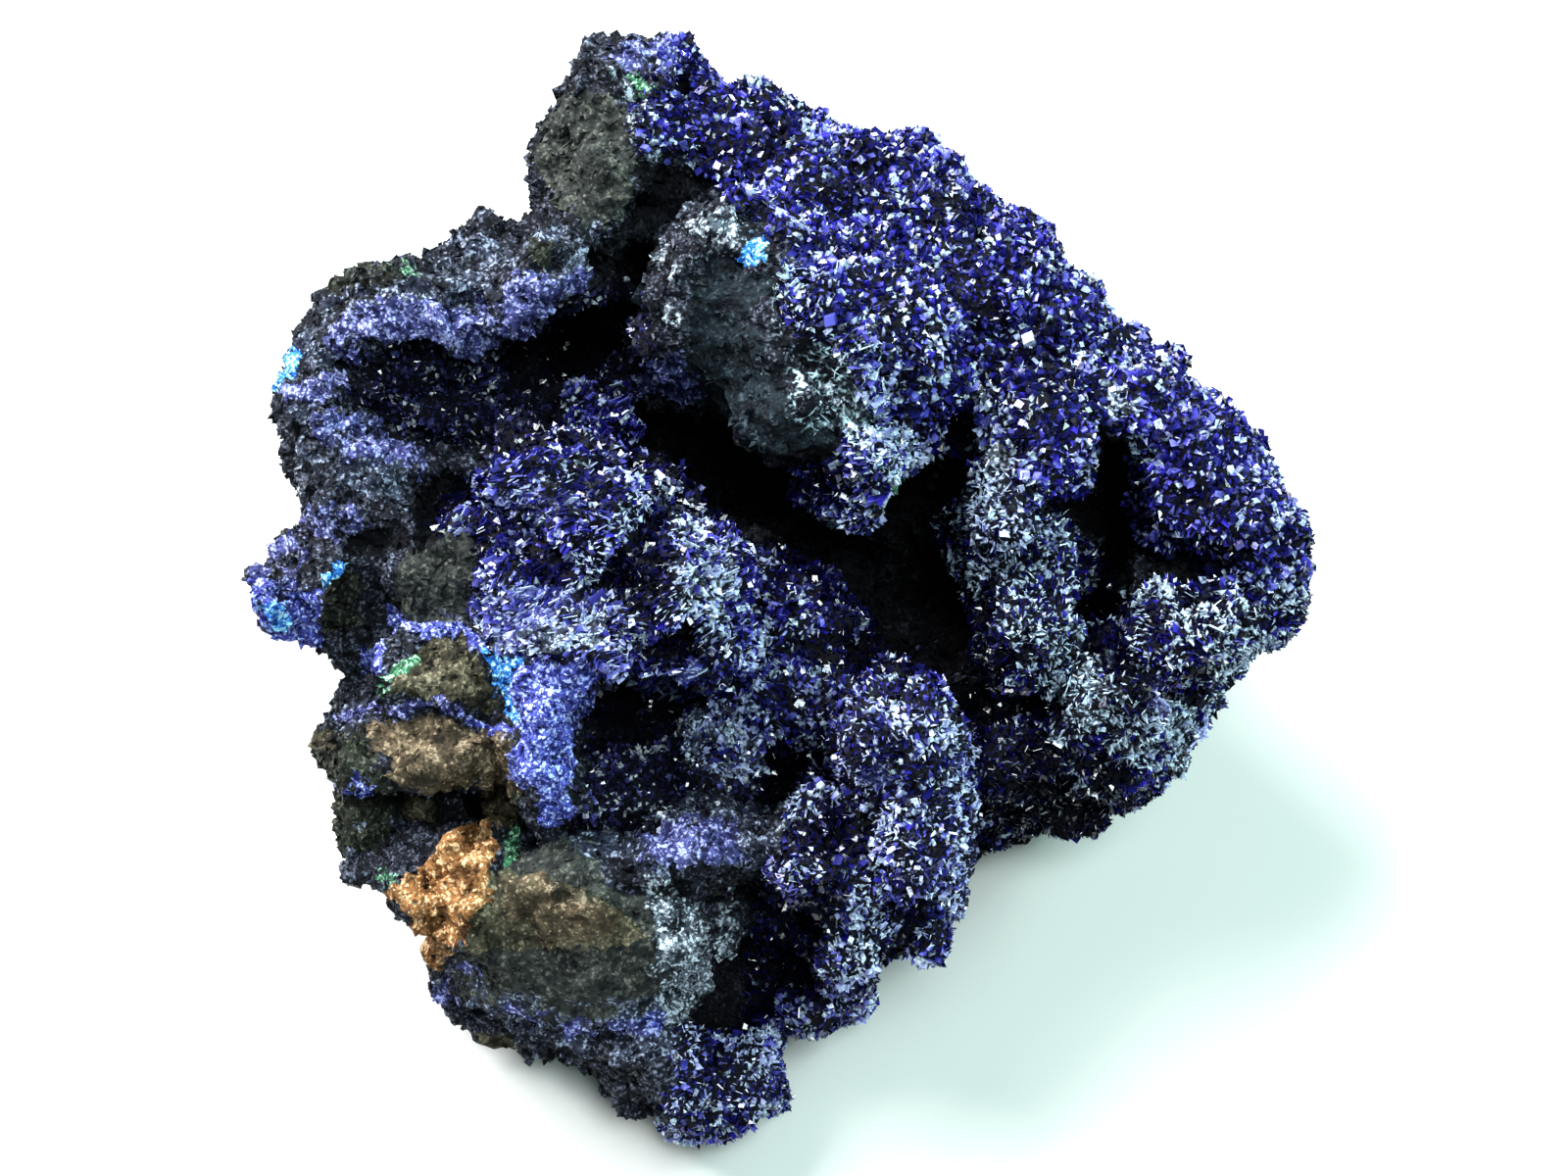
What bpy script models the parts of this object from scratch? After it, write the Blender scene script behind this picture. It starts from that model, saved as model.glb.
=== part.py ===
"""Azurite specimen: a lump of iron-stained host rock, full of hollows, with crusts of azurite crystals.

The host rock is one solid. It is laid out face-on, in millimetres, in the frame of its display face: u runs to
the right across the face, v up the face and w out of it. A loft from the rim of the face down to the base gives
the body, rounded masses stand on it, hollows are cut into it, and knobs stand on the floors of the hollows. The
display face leans back, and the rock rests on a flat base at Z = 0, with the origin on that base.

Each crust is a shell over an area of the rock's own surface, with its crystals standing on it as flat-sided
points.
"""

import math
import random
from collections import Counter
from dataclasses import dataclass

import bmesh
import bpy
from mathutils import Matrix, Vector
from mathutils.bvhtree import BVHTree

MM = 0.001
UP = Vector((0.0, 0.0, 1.0))

# The display face's frame.
FACE_LEAN_DEG = 55.0  # how far the face looks up from the horizontal
FACE_HEIGHT = 40.0  # the face frame's origin above the base
RIM_DEPTH = -13.0  # w of the widest outline

# The body behind the face, lofted from the rim to the base.
FRONT_DEPTH = -7.0
FRONT_SHARE = 0.90
BASE_CENTRE = (0.0, 13.0)
BASE_RADII = (29.0, 23.0)
WAIST_LEVEL = 0.45
WAIST_BULGE = 7.0  # on the far side; none on the near side
BURIED = 6.0  # the loft runs this far below the base, where it is cut flat

# Grain of the surfaces.
COARSE_VOXEL = 1.3
FINE_VOXEL = 1.0
COARSE_NOISE = (7.0, 4.5)  # size, strength
FINE_NOISE = (3.0, 3.2)
HOLLOW_NOISE = (5.0, 4.0)
NOISE_DEPTH = 2

# Small lumps and pits, scattered over the rock.
LUMPS = (420, 1.4, 3.4)  # how many, the smallest and largest radius
PITS = (70, 0.9, 2.2)
LUMP_SEED = 12
PIT_SEED = 21
SPREAD = (0.6, 1.3)  # how much each is stretched along the surface
FLATNESS = (0.35, 0.8)  # and across it

# Facet budgets.
ROUGH_FACES = 16000
HOLLOW_FACES = 6000
ROCK_FACES = 4800

# Crusts.
CRUST_GAP = 0.3
CRUST_THICKNESS = 0.8
CRYSTAL_HEIGHT = (0.4, 1.5)
CRYSTAL_LEAN = 0.55
BASE_BEND_DEG = 50.0  # two triangles that bend less than this carry one crystal between them
BASE_SKEW_DEG = 70.0
CRUST_FACING = -0.55  # the least w of the normals that a crust covers
LEAST_CRUST_HEIGHT = 3.0  # above the base

# How a crust clears the rock, a facing wall and itself.
CLEAR_SHARE = 0.35  # it fills at most this share of the way to a facing wall
LONGEST_LOOK = 20.0
LOOK_START = 0.05
LOOK_LEAN = 0.5
SIDEWAYS_LOOKS = ((0, 0), (LOOK_LEAN, 0), (-LOOK_LEAN, 0), (0, LOOK_LEAN), (0, -LOOK_LEAN))
WAY_STEPS = 20
WAY_TURN = 0.2
ENOUGH_RISE = 0.7
LEAST_RISE = 0.1
MOST_LIFT = 3.5  # a vertex that needs a longer lift than this to clear its faces isn't covered
CRUST_TRIES = 16
THINNER = 0.5  # a place at fault is made this much thinner each time
LEAST_GAP_SHARE = 0.5
MOST_FAULTS = 4
SOURCE = "rock_vertex"  # the layer that tells which vertex of the rock a vertex of a crust stands on
TIP = -1

RIM = [
    (-16.5, 51.0), (-9.0, 48.5), (0.0, 45.5), (10.0, 42.0), (17.0, 39.0), (25.0, 32.5), (30.0, 28.0),
    (35.5, 21.5), (40.5, 17.0), (46.5, 10.0), (48.5, 6.5), (48.0, 4.5), (45.5, 2.5), (46.5, -1.0),
    (43.5, -6.0), (39.5, -10.5), (37.0, -14.5), (36.0, -18.0), (32.0, -20.5), (25.5, -21.0),
    (17.5, -21.0), (16.5, -26.5), (15.0, -32.5), (11.0, -33.5), (8.0, -36.5), (2.5, -41.5),
    (-2.0, -42.5), (-2.0, -48.0), (-6.0, -51.0), (-14.5, -47.0), (-18.5, -44.5), (-25.5, -44.0),
    (-34.0, -37.5), (-35.5, -31.0), (-39.0, -27.5), (-43.5, -19.5), (-44.5, -14.0), (-41.5, -9.0),
    (-41.5, -5.0), (-46.0, -5.5), (-49.5, -2.0), (-49.0, 3.0), (-45.5, 5.5), (-46.0, 11.0),
    (-49.0, 14.5), (-48.0, 19.0), (-42.5, 30.0), (-41.0, 31.0), (-33.5, 30.5), (-32.0, 33.5),
    (-24.0, 36.0), (-23.5, 40.0), (-21.0, 44.0), (-18.5, 48.0),
]


@dataclass(frozen=True)
class Mass:
    """A rounded mass, knob or hollow: its centre and radii along u, v, w, its turn about w, and the flat
    faces broken off it, each a direction and a share of the radius."""

    name: str
    centre: tuple
    radii: tuple
    turn: float = 0.0
    breaks: tuple = ()


MASSES = [
    Mass("apex knob", (-17.0, 39.5, -10.0), (7.0, 9.0, 14.0), 0, (((-0.45, 0.1, 0.9), 0.62),)),
    Mass("apex crown", (-13.5, 46.5, -13.0), (6.5, 4.5, 10.0), -15),
    Mass("apex foot", (-18.5, 32.0, -12.0), (6.5, 5.0, 12.0)),
    Mass("middle lobe", (0.0, 22.5, -4.0), (13.0, 9.5, 17.0), -28),
    Mass("middle lobe nose", (-6.0, 27.0, 4.0), (5.5, 6.5, 11.0), 0, (((-0.25, -0.2, 0.95), 0.6),)),
    Mass("middle lobe flank", (9.0, 23.0, -8.0), (6.0, 10.5, 17.0), 12),
    Mass("middle lobe belly", (0.0, 14.0, -2.0), (7.0, 5.0, 14.0), -25),
    Mass("middle lobe chin", (6.5, 10.0, 2.0), (3.5, 3.0, 11.0)),
    Mass("slope 1", (1.5, 36.5, -12.5), (16.0, 7.5, 11.0), -24),
    Mass("slope 2", (18.5, 26.5, -13.0), (16.5, 9.5, 13.0), -41),
    Mass("slope 3", (33.0, 13.0, -12.0), (14.0, 7.5, 12.0), -40),
    Mass("right corner", (40.5, 6.0, -10.5), (6.5, 5.0, 10.0), -25),
    Mass("saddle lobe", (22.0, 14.0, -4.5), (4.5, 6.5, 12.0)),
    Mass("right lobe 1", (19.5, 6.0, -3.0), (4.0, 4.0, 11.0)),
    Mass("right lobe 2", (25.0, 1.5, -6.0), (3.0, 3.0, 10.0)),
    Mass("right lobe 3", (21.0, -4.5, -4.0), (4.5, 5.0, 11.0)),
    Mass("right lobe 4", (36.0, -3.5, -5.0), (6.0, 3.5, 11.0), 15),
    Mass("right lobe 5", (29.0, -9.0, -6.5), (5.5, 4.0, 11.0)),
    Mass("right foot", (26.5, -15.5, -12.0), (8.5, 4.5, 11.0), 5),
    Mass("right heel", (33.5, -12.5, -10.5), (4.0, 4.5, 9.0)),
    Mass("right edge knob", (45.5, -1.0, -14.0), (2.5, 3.5, 8.0)),
    Mass("front lobe crown", (9.5, -11.5, 4.0), (5.5, 4.5, 13.0)),
    Mass("front lobe body", (12.0, -20.0, 0.0), (4.5, 7.0, 13.0), -10),
    Mass("front lobe toe", (12.5, -28.0, -6.0), (3.5, 5.0, 12.0)),
    Mass("ridge 1", (-18.5, 10.0, -4.0), (8.5, 3.0, 12.0), -8),
    Mass("ridge 2", (-14.0, 5.0, 1.5), (7.0, 3.5, 12.0), -15),
    Mass("ridge 3", (-9.5, -0.5, 4.0), (4.5, 5.0, 12.0)),
    Mass("ridge 4", (-20.5, 0.5, 1.0), (6.5, 4.0, 12.0)),
    Mass("ridge 5", (-6.5, -4.5, 3.0), (2.0, 4.0, 10.0)),
    Mass("channel lobe 1", (3.5, -4.0, -8.0), (4.0, 3.5, 9.0)),
    Mass("channel lobe 2", (0.0, -9.0, -6.0), (4.5, 2.5, 8.0)),
    Mass("wing 1", (-33.5, 26.0, -8.0), (10.5, 4.0, 10.0), 14),
    Mass("wing 2", (-21.5, 29.0, -7.0), (6.5, 4.5, 12.0)),
    Mass("wing 3", (-43.0, 16.5, -9.0), (4.5, 8.5, 10.0)),
    Mass("wing 4", (-38.0, 7.5, -8.0), (7.0, 4.5, 10.0), -15),
    Mass("wing 5", (-28.0, 33.0, -12.0), (5.5, 2.5, 9.0), 10),
    Mass("wing 6", (-30.5, 2.0, -5.0), (5.5, 5.0, 11.0), 0, (((-0.2, 0.3, 0.93), 0.7),)),
    Mass("left knob 1", (-45.5, -0.5, -10.0), (3.5, 4.0, 9.0)),
    Mass("left knob 2", (-40.5, 0.5, -8.0), (3.0, 4.0, 9.0)),
    Mass("brown upper", (-29.5, -7.5, 1.0), (6.0, 4.0, 11.0), 0, (((-0.1, 0.2, 0.97), 0.7),)),
    Mass("brown lower", (-32.0, -14.0, 1.0), (8.0, 3.5, 12.0), 8, (((0.0, 0.35, 0.93), 0.6),)),
    Mass("brown cheek", (-38.5, -21.0, -7.0), (4.0, 6.5, 10.0)),
    Mass("orange shoulder", (-29.5, -26.0, -1.0), (5.5, 6.5, 12.0), 0, (((-0.3, 0.1, 0.95), 0.65),)),
    Mass("broad face", (-18.0, -29.5, -1.0), (11.0, 7.0, 14.0), -12, (((-0.1, -0.15, 0.98), 0.55),)),
    Mass("broad face hem", (-23.0, -37.0, -9.0), (8.5, 3.5, 9.0), -20),
    Mass("tail neck", (-12.0, -41.5, -8.0), (6.5, 5.5, 10.0), -30),
    Mass("tail tip", (-5.5, -46.0, -11.0), (4.5, 4.5, 10.0)),
    Mass("band 1", (-20.5, -13.0, 4.0), (3.0, 7.5, 10.0), -6),
    Mass("band 2", (-17.0, -5.5, 4.0), (5.5, 4.0, 11.0)),
    Mass("sill", (-7.5, -23.0, 0.0), (8.0, 3.0, 9.0), 8),
    Mass("cheek 1", (3.5, -24.0, 1.0), (4.5, 5.5, 12.0)),
    Mass("cheek 2", (6.0, -31.0, -4.0), (3.5, 5.0, 11.0), -10),
    Mass("cheek 3", (0.5, -34.5, -11.5), (5.5, 4.5, 10.0)),
    Mass("cheek 4", (4.0, -39.5, -13.0), (4.5, 2.5, 8.0), 20),
    Mass("back boulder 1", (18.0, 10.0, -38.0), (16.0, 14.0, 14.0), 20),
    Mass("back boulder 2", (-20.0, 12.0, -36.0), (15.0, 13.0, 13.0), -15),
    Mass("back boulder 3", (-4.0, 22.0, -34.0), (13.0, 12.0, 12.0)),
    Mass("under boulder 1", (24.0, -8.0, -28.0), (11.0, 10.0, 12.0)),
    Mass("under boulder 2", (-24.0, -16.0, -24.0), (12.0, 11.0, 11.0)),
]

HOLLOWS = [
    Mass("left vug", (-29.0, 17.0, -2.0), (10.0, 5.0, 16.0), 8),
    Mass("left vug throat", (-19.0, 22.0, -5.0), (5.5, 4.5, 20.0), 20),
    Mass("knob gap", (-13.5, 26.5, -2.0), (2.5, 6.0, 18.0), -10),
    Mass("chasm 1", (-9.5, 13.5, -4.0), (5.5, 4.0, 20.0), -20),
    Mass("chasm 2", (-3.0, 9.0, -5.0), (6.5, 4.0, 21.0), -25),
    Mass("chasm 3", (6.0, 3.0, -6.0), (7.0, 3.8, 21.0), -25),
    Mass("chasm 4", (12.5, -0.5, -6.0), (6.0, 6.5, 21.0)),
    Mass("chin hollow", (12.5, 7.5, 0.0), (5.0, 3.2, 18.0), 10),
    Mass("right vug", (29.0, 5.5, -2.0), (5.0, 9.0, 20.0), -15),
    Mass("right vug foot", (27.0, -1.5, -5.0), (3.0, 3.0, 15.0)),
    Mass("right slot", (35.0, 2.0, 0.0), (5.5, 1.2, 11.0), -5),
    Mass("pit", (-12.5, -11.5, 0.0), (6.8, 4.8, 17.0)),
    Mass("pit side", (-15.5, -16.0, -2.0), (2.5, 4.5, 15.0)),
    Mass("pit gap", (-1.0, -18.0, -3.0), (4.0, 2.8, 15.0)),
    Mass("front crevice", (17.5, -10.0, -2.0), (1.5, 5.5, 18.0)),
    Mass("brown slot", (-31.5, -19.5, 0.0), (4.5, 1.5, 15.0)),
    Mass("tail hollow", (-3.0, -37.0, -4.0), (4.5, 6.5, 15.0), -30),
    Mass("crown pit", (-9.0, 45.0, -5.0), (1.5, 2.0, 9.0)),
    Mass("ridge groove", (-8.5, -3.5, 12.0), (2.4, 1.5, 7.0), -10),
    Mass("ridge crevice", (-11.5, 7.0, 10.5), (3.6, 1.1, 6.0), -38),
    Mass("back hollow", (6.0, 30.0, -44.0), (8.0, 6.0, 8.0), 30),
    Mass("side hollow", (-44.0, 0.0, -26.0), (6.0, 7.0, 5.0)),
]

FLOOR_KNOBS = [
    Mass("pit knob 1", (-13.5, -20.0, -10.0), (4.5, 3.5, 8.0)),
    Mass("pit knob 2", (-5.0, -14.5, -8.0), (5.0, 4.5, 8.0)),
    Mass("vug knob", (-33.5, 16.0, -15.0), (5.0, 4.5, 6.0)),
]


@dataclass(frozen=True)
class Crust:
    """A crust of crystals: its node's name, its colour, the outline in u and v of the area it covers, the
    least w of that area, and the seed of its crystals."""

    name: str
    colour: tuple
    outline: tuple
    least_w: float
    seed: int


DEEP_BLUE = (0.015, 0.012, 0.19, 1.0)
NIGHT_BLUE = (0.010, 0.012, 0.09, 1.0)

CRUSTS = [
    Crust("azurite_crust_slope", DEEP_BLUE, (
        (-10, 55), (55, 30), (60, 0), (44, -16), (40, -28), (18.5, -27), (18.5, -16), (20.5, -9),
        (18, -4), (16, 3.5), (18, 8), (14, 11), (9.5, 8.5), (5.5, 15), (0, 20), (0, 28), (-2.5, 33),
        (-9, 34), (-9, 41),
    ), -26.0, 3),
    Crust("azurite_crust_front", DEEP_BLUE, (
        (-1, 0), (6, -1), (9, -6), (16.5, -9), (18, -18), (19, -37), (11, -37), (9, -40), (3, -43),
        (0, -43), (2, -30), (1, -22), (3, -16), (-3, -12.5), (-4.5, -4),
    ), -20.0, 5),
    Crust("azurite_crust_ridge", DEEP_BLUE, (
        (-28, 12), (-18, 15), (-9, 11), (-5, 3.5), (-3, -1), (-5, -8), (-9, -8), (-16, -8), (-21, -5.5),
        (-25, -3.5), (-26, 3.5),
    ), -16.0, 6),
    Crust("azurite_crust_tail", DEEP_BLUE, (
        (-12, -38), (-5, -38), (2, -41), (3, -53), (-8, -53), (-12, -46),
    ), -24.0, 7),
    Crust("left_vug_crust", NIGHT_BLUE, (
        (-39, 18), (-31, 23), (-16, 26), (-14, 18), (-23, 11.5), (-31, 11.5),
    ), -30.0, 9),
    Crust("pit_crust", NIGHT_BLUE, (
        (-18, -8), (-8, -9.5), (-3, -12), (1, -18), (-3, -20.5), (-9, -20), (-17, -23), (-18.5, -16),
    ), -30.0, 11),
]
ROCK_COLOUR = (0.09, 0.075, 0.06, 1.0)


def face_frame():
    """The matrix from the display face's frame, in millimetres, to the world, in metres."""
    lean = math.radians(FACE_LEAN_DEG)
    axes = Matrix((
        (1.0, 0.0, 0.0),
        (0.0, math.sin(lean), -math.cos(lean)),
        (0.0, math.cos(lean), math.sin(lean)),
    ))
    return Matrix.Translation((0, 0, FACE_HEIGHT * MM)) @ axes.to_4x4() @ Matrix.Scale(MM, 4)


def material(name, colour, roughness):
    """A Principled material of one colour."""
    made = bpy.data.materials.new(name)
    made.use_nodes = True
    shader = made.node_tree.nodes["Principled BSDF"]
    shader.inputs["Base Color"].default_value = colour
    shader.inputs["Roughness"].default_value = roughness
    shader.inputs["Metallic"].default_value = 0.0
    made.diffuse_color = colour
    return made


def new_object(name, bm):
    """An object made from a bmesh, which is freed."""
    mesh = bpy.data.meshes.new(name)
    bm.to_mesh(mesh)
    bm.free()
    made = bpy.data.objects.new(name, mesh)
    bpy.context.scene.collection.objects.link(made)
    return made


def add_mass(bm, mass):
    """Adds one mass to bm, in the face's frame."""
    own = bmesh.new()
    bmesh.ops.create_icosphere(own, subdivisions=3, radius=1.0)
    for direction, share in mass.breaks:
        normal = Vector(direction).normalized()
        cut = bmesh.ops.bisect_plane(own, geom=own.verts[:] + own.edges[:] + own.faces[:],
                                     plane_co=normal * share, plane_no=normal, clear_outer=True)
        rim = [e for e in cut["geom_cut"] if isinstance(e, bmesh.types.BMEdge)]
        bmesh.ops.contextual_create(own, geom=rim)
    size = Matrix.Diagonal((*mass.radii, 1.0))
    turn = Matrix.Rotation(math.radians(mass.turn), 4, "Z")
    own.transform(Matrix.Translation(mass.centre) @ turn @ size)
    copy = bpy.data.meshes.new(mass.name)
    own.to_mesh(copy)
    own.free()
    bm.from_mesh(copy)
    bpy.data.meshes.remove(copy)


def masses_object(name, masses, frame):
    """One mesh of all these masses, which still pass through each other."""
    bm = bmesh.new()
    for mass in masses:
        add_mass(bm, mass)
    bm.transform(frame)
    return new_object(name, bm)


def scatter(rock_mesh, bm, kind, seed):
    """Adds angular, turned and squashed little solids to bm at places spread evenly over the rock's surface."""
    count, least, most = kind
    draw = random.Random(seed)
    faces = [(p.center.copy(), p.normal.copy(), p.area) for p in rock_mesh.polygons if p.center.z > 0]
    places = draw.choices(faces, weights=[area for _, _, area in faces], k=count)
    for centre, normal, _ in places:
        radius = draw.uniform(least, most) * MM
        squash = Matrix.Diagonal((draw.uniform(*SPREAD), draw.uniform(*SPREAD), draw.uniform(*FLATNESS), 1.0))
        spin = Matrix.Rotation(draw.uniform(0, math.tau), 4, "Z")
        stand = normal.to_track_quat("Z", "Y").to_matrix().to_4x4()
        place = Matrix.Translation(centre) @ stand @ spin @ squash
        bmesh.ops.create_icosphere(bm, subdivisions=1, radius=radius, matrix=place)


def body_object(name, frame):
    """The closed loft behind the display face: a front ring, the rim, a waist and the buried base."""
    centre = Vector((sum(u for u, _ in RIM), sum(v for _, v in RIM))) / len(RIM)
    bm = bmesh.new()

    def ring(points):
        verts = [bm.verts.new(p) for p in points]
        return [bm.edges.new((a, b)) for a, b in zip(verts, verts[1:] + verts[:1])]

    def front(u, v):
        inner = centre + (Vector((u, v)) - centre) * FRONT_SHARE
        return frame @ Vector((inner.x, inner.y, FRONT_DEPTH))

    def rim(u, v):
        return frame @ Vector((u, v, RIM_DEPTH))

    def away(u, v):
        return (rim(u, v).xy - Vector(BASE_CENTRE) * MM).normalized()

    def base(u, v):
        way = away(u, v)
        reach = Vector((way.x * BASE_RADII[0], way.y * BASE_RADII[1]))
        return Vector((*(Vector(BASE_CENTRE) + reach), -BURIED)) * MM

    def waist(u, v):
        way = away(u, v)
        bulge = WAIST_BULGE * MM * max(0.0, way.y)
        return rim(u, v).lerp(base(u, v), WAIST_LEVEL) + Vector((way.x, way.y, 0.0)) * bulge

    rings = [ring([place(u, v) for u, v in RIM]) for place in (front, rim, waist, base)]
    for above, below in zip(rings, rings[1:]):
        bmesh.ops.bridge_loops(bm, edges=above + below)
    bmesh.ops.contextual_create(bm, geom=rings[0])
    bmesh.ops.contextual_create(bm, geom=rings[-1])
    bmesh.ops.recalc_face_normals(bm, faces=bm.faces[:])
    return new_object(name, bm)


def roughen(obj, name, noise):
    """Displaces the surface by a cloud noise of this size and strength."""
    size, strength = noise
    texture = bpy.data.textures.new(name, "CLOUDS")
    texture.noise_scale = size * MM
    texture.noise_depth = NOISE_DEPTH
    displace = obj.modifiers.new(name, "DISPLACE")
    displace.texture = texture
    displace.texture_coords = "LOCAL"
    displace.strength = strength * MM
    displace.mid_level = 0.5


def remesh(obj, voxel):
    """Joins what overlaps into one even surface."""
    modifier = obj.modifiers.new("one_surface", "REMESH")
    modifier.mode = "VOXEL"
    modifier.voxel_size = voxel * MM


def thin_out(obj, faces, faces_now):
    """Decimates to about this many triangles."""
    modifier = obj.modifiers.new("fewer_faces", "DECIMATE")
    modifier.ratio = min(1.0, faces / faces_now)
    modifier.use_collapse_triangulate = True


def boolean(obj, other, operation):
    """Cuts or joins another object, which is then only a helper."""
    modifier = obj.modifiers.new(other.name, "BOOLEAN")
    modifier.object = other
    modifier.operation = operation
    other.hide_render = True
    other.display_type = "WIRE"


def triangle_count(obj):
    """Triangles of the object as its modifiers now leave it."""
    bpy.context.view_layer.update()
    evaluated = obj.evaluated_get(bpy.context.evaluated_depsgraph_get())
    mesh = evaluated.to_mesh()
    mesh.calc_loop_triangles()
    count = len(mesh.loop_triangles)
    evaluated.to_mesh_clear()
    return count


def bake(obj):
    """Replaces the object's mesh by what its modifiers make of it."""
    bpy.context.view_layer.update()
    evaluated = obj.evaluated_get(bpy.context.evaluated_depsgraph_get())
    mesh = bpy.data.meshes.new_from_object(evaluated)
    obj.modifiers.clear()
    obj.data = mesh


def connected(faces, around=None):
    """These faces in connected groups, largest first. With a vertex in around, only its own edges connect them."""
    left = set(faces)
    groups = []
    while left:
        todo = [left.pop()]
        group = list(todo)
        while todo:
            for edge in todo.pop().edges:
                if around is not None and around not in edge.verts:
                    continue
                found = left.intersection(edge.link_faces)
                left -= found
                todo.extend(found)
                group.extend(found)
        groups.append(group)
    return sorted(groups, key=lambda group: (-len(group), min(face.index for face in group)))


def keep_largest_shell(bm):
    """Deletes every connected shell of bm but the one with the most faces."""
    bm.faces.index_update()
    for shell in connected(bm.faces)[1:]:
        bmesh.ops.delete(bm, geom=shell, context="FACES")


def cut_base(obj):
    """Cuts the rock flat at Z = 0 and closes it there."""
    bm = bmesh.new()
    bm.from_mesh(obj.data)
    keep_largest_shell(bm)
    cut = bmesh.ops.bisect_plane(bm, geom=bm.verts[:] + bm.edges[:] + bm.faces[:],
                                 plane_co=(0, 0, 0), plane_no=UP, clear_inner=True)
    rim = [e for e in cut["geom_cut"] if isinstance(e, bmesh.types.BMEdge)]
    bmesh.ops.holes_fill(bm, edges=rim)
    bmesh.ops.triangulate(bm, faces=bm.faces[:])
    bmesh.ops.recalc_face_normals(bm, faces=bm.faces[:])
    bm.to_mesh(obj.data)
    bm.free()


def make_rock(frame):
    """The host rock: its body and masses, less its hollows, with the knobs on their floors."""
    rock = body_object("host_rock", frame)
    masses = masses_object("masses", MASSES, frame)
    bm = bmesh.new()
    bm.from_mesh(rock.data)
    bm.from_mesh(masses.data)
    bm.to_mesh(rock.data)
    bm.free()
    bpy.data.objects.remove(masses)
    remesh(rock, COARSE_VOXEL)
    roughen(rock, "coarse_grain", COARSE_NOISE)
    bake(rock)
    pits = bmesh.new()
    scatter(rock.data, pits, PITS, PIT_SEED)
    bm = bmesh.new()
    bm.from_mesh(rock.data)
    scatter(rock.data, bm, LUMPS, LUMP_SEED)
    bm.to_mesh(rock.data)
    bm.free()
    remesh(rock, FINE_VOXEL)
    thin_out(rock, ROUGH_FACES, triangle_count(rock))

    hollows = masses_object("hollows", HOLLOWS, frame)
    pits.from_mesh(hollows.data)
    pits.to_mesh(hollows.data)
    pits.free()
    remesh(hollows, FINE_VOXEL)
    roughen(hollows, "hollow_grain", HOLLOW_NOISE)
    thin_out(hollows, HOLLOW_FACES, triangle_count(hollows))
    boolean(rock, hollows, "DIFFERENCE")

    knobs = masses_object("floor_knobs", FLOOR_KNOBS, frame)
    boolean(rock, knobs, "UNION")
    remesh(rock, FINE_VOXEL)
    roughen(rock, "fine_grain", FINE_NOISE)
    thin_out(rock, ROCK_FACES, triangle_count(rock))
    bake(rock)
    for helper in (hollows, knobs):
        bpy.data.objects.remove(helper)
    cut_base(rock)
    rock.data.materials.clear()
    rock.data.materials.append(material("host_rock", ROCK_COLOUR, 0.9))
    return rock


def inside(point, outline):
    """Whether a point of the face lies in an outline."""
    u, v = point
    found = False
    for (u0, v0), (u1, v1) in zip(outline, outline[1:] + outline[:1]):
        if (v0 > v) != (v1 > v) and u < u0 + (v - v0) / (v1 - v0) * (u1 - u0):
            found = not found
    return found


def drop_pinched_faces(bm):
    """Deletes faces until the open surface meets itself at no single vertex, then keeps its largest piece."""
    changed = True
    while changed:
        keep_largest_shell(bm)
        extra = {f for v in bm.verts for fan in connected(v.link_faces, v)[1:] for f in fan}
        bmesh.ops.delete(bm, geom=list(extra), context="FACES")
        changed = bool(extra)
    loose = [v for v in bm.verts if not v.link_faces]
    bmesh.ops.delete(bm, geom=loose, context="VERTS")


def crust_area(rock_mesh, crust, to_face, banned):
    """The faces of the rock that a crust covers, as an open surface whose vertices hold their index in the
    rock."""
    bm = bmesh.new()
    bm.from_mesh(rock_mesh)
    source = bm.verts.layers.int.new(SOURCE)
    for vert in bm.verts:
        vert[source] = vert.index
    left_out = []
    for face in bm.faces:
        place = to_face @ face.calc_center_median()
        outwards = (to_face.to_3x3() @ face.normal).normalized()
        low = min(v.co.z for v in face.verts) < LEAST_CRUST_HEIGHT * MM
        facing = place.z > crust.least_w and outwards.z > CRUST_FACING
        refused = any(v.index in banned for v in face.verts)
        if low or refused or not facing or not inside(place.xy, crust.outline):
            left_out.append(face)
    bmesh.ops.delete(bm, geom=left_out, context="FACES")
    drop_pinched_faces(bm)
    return bm


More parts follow.
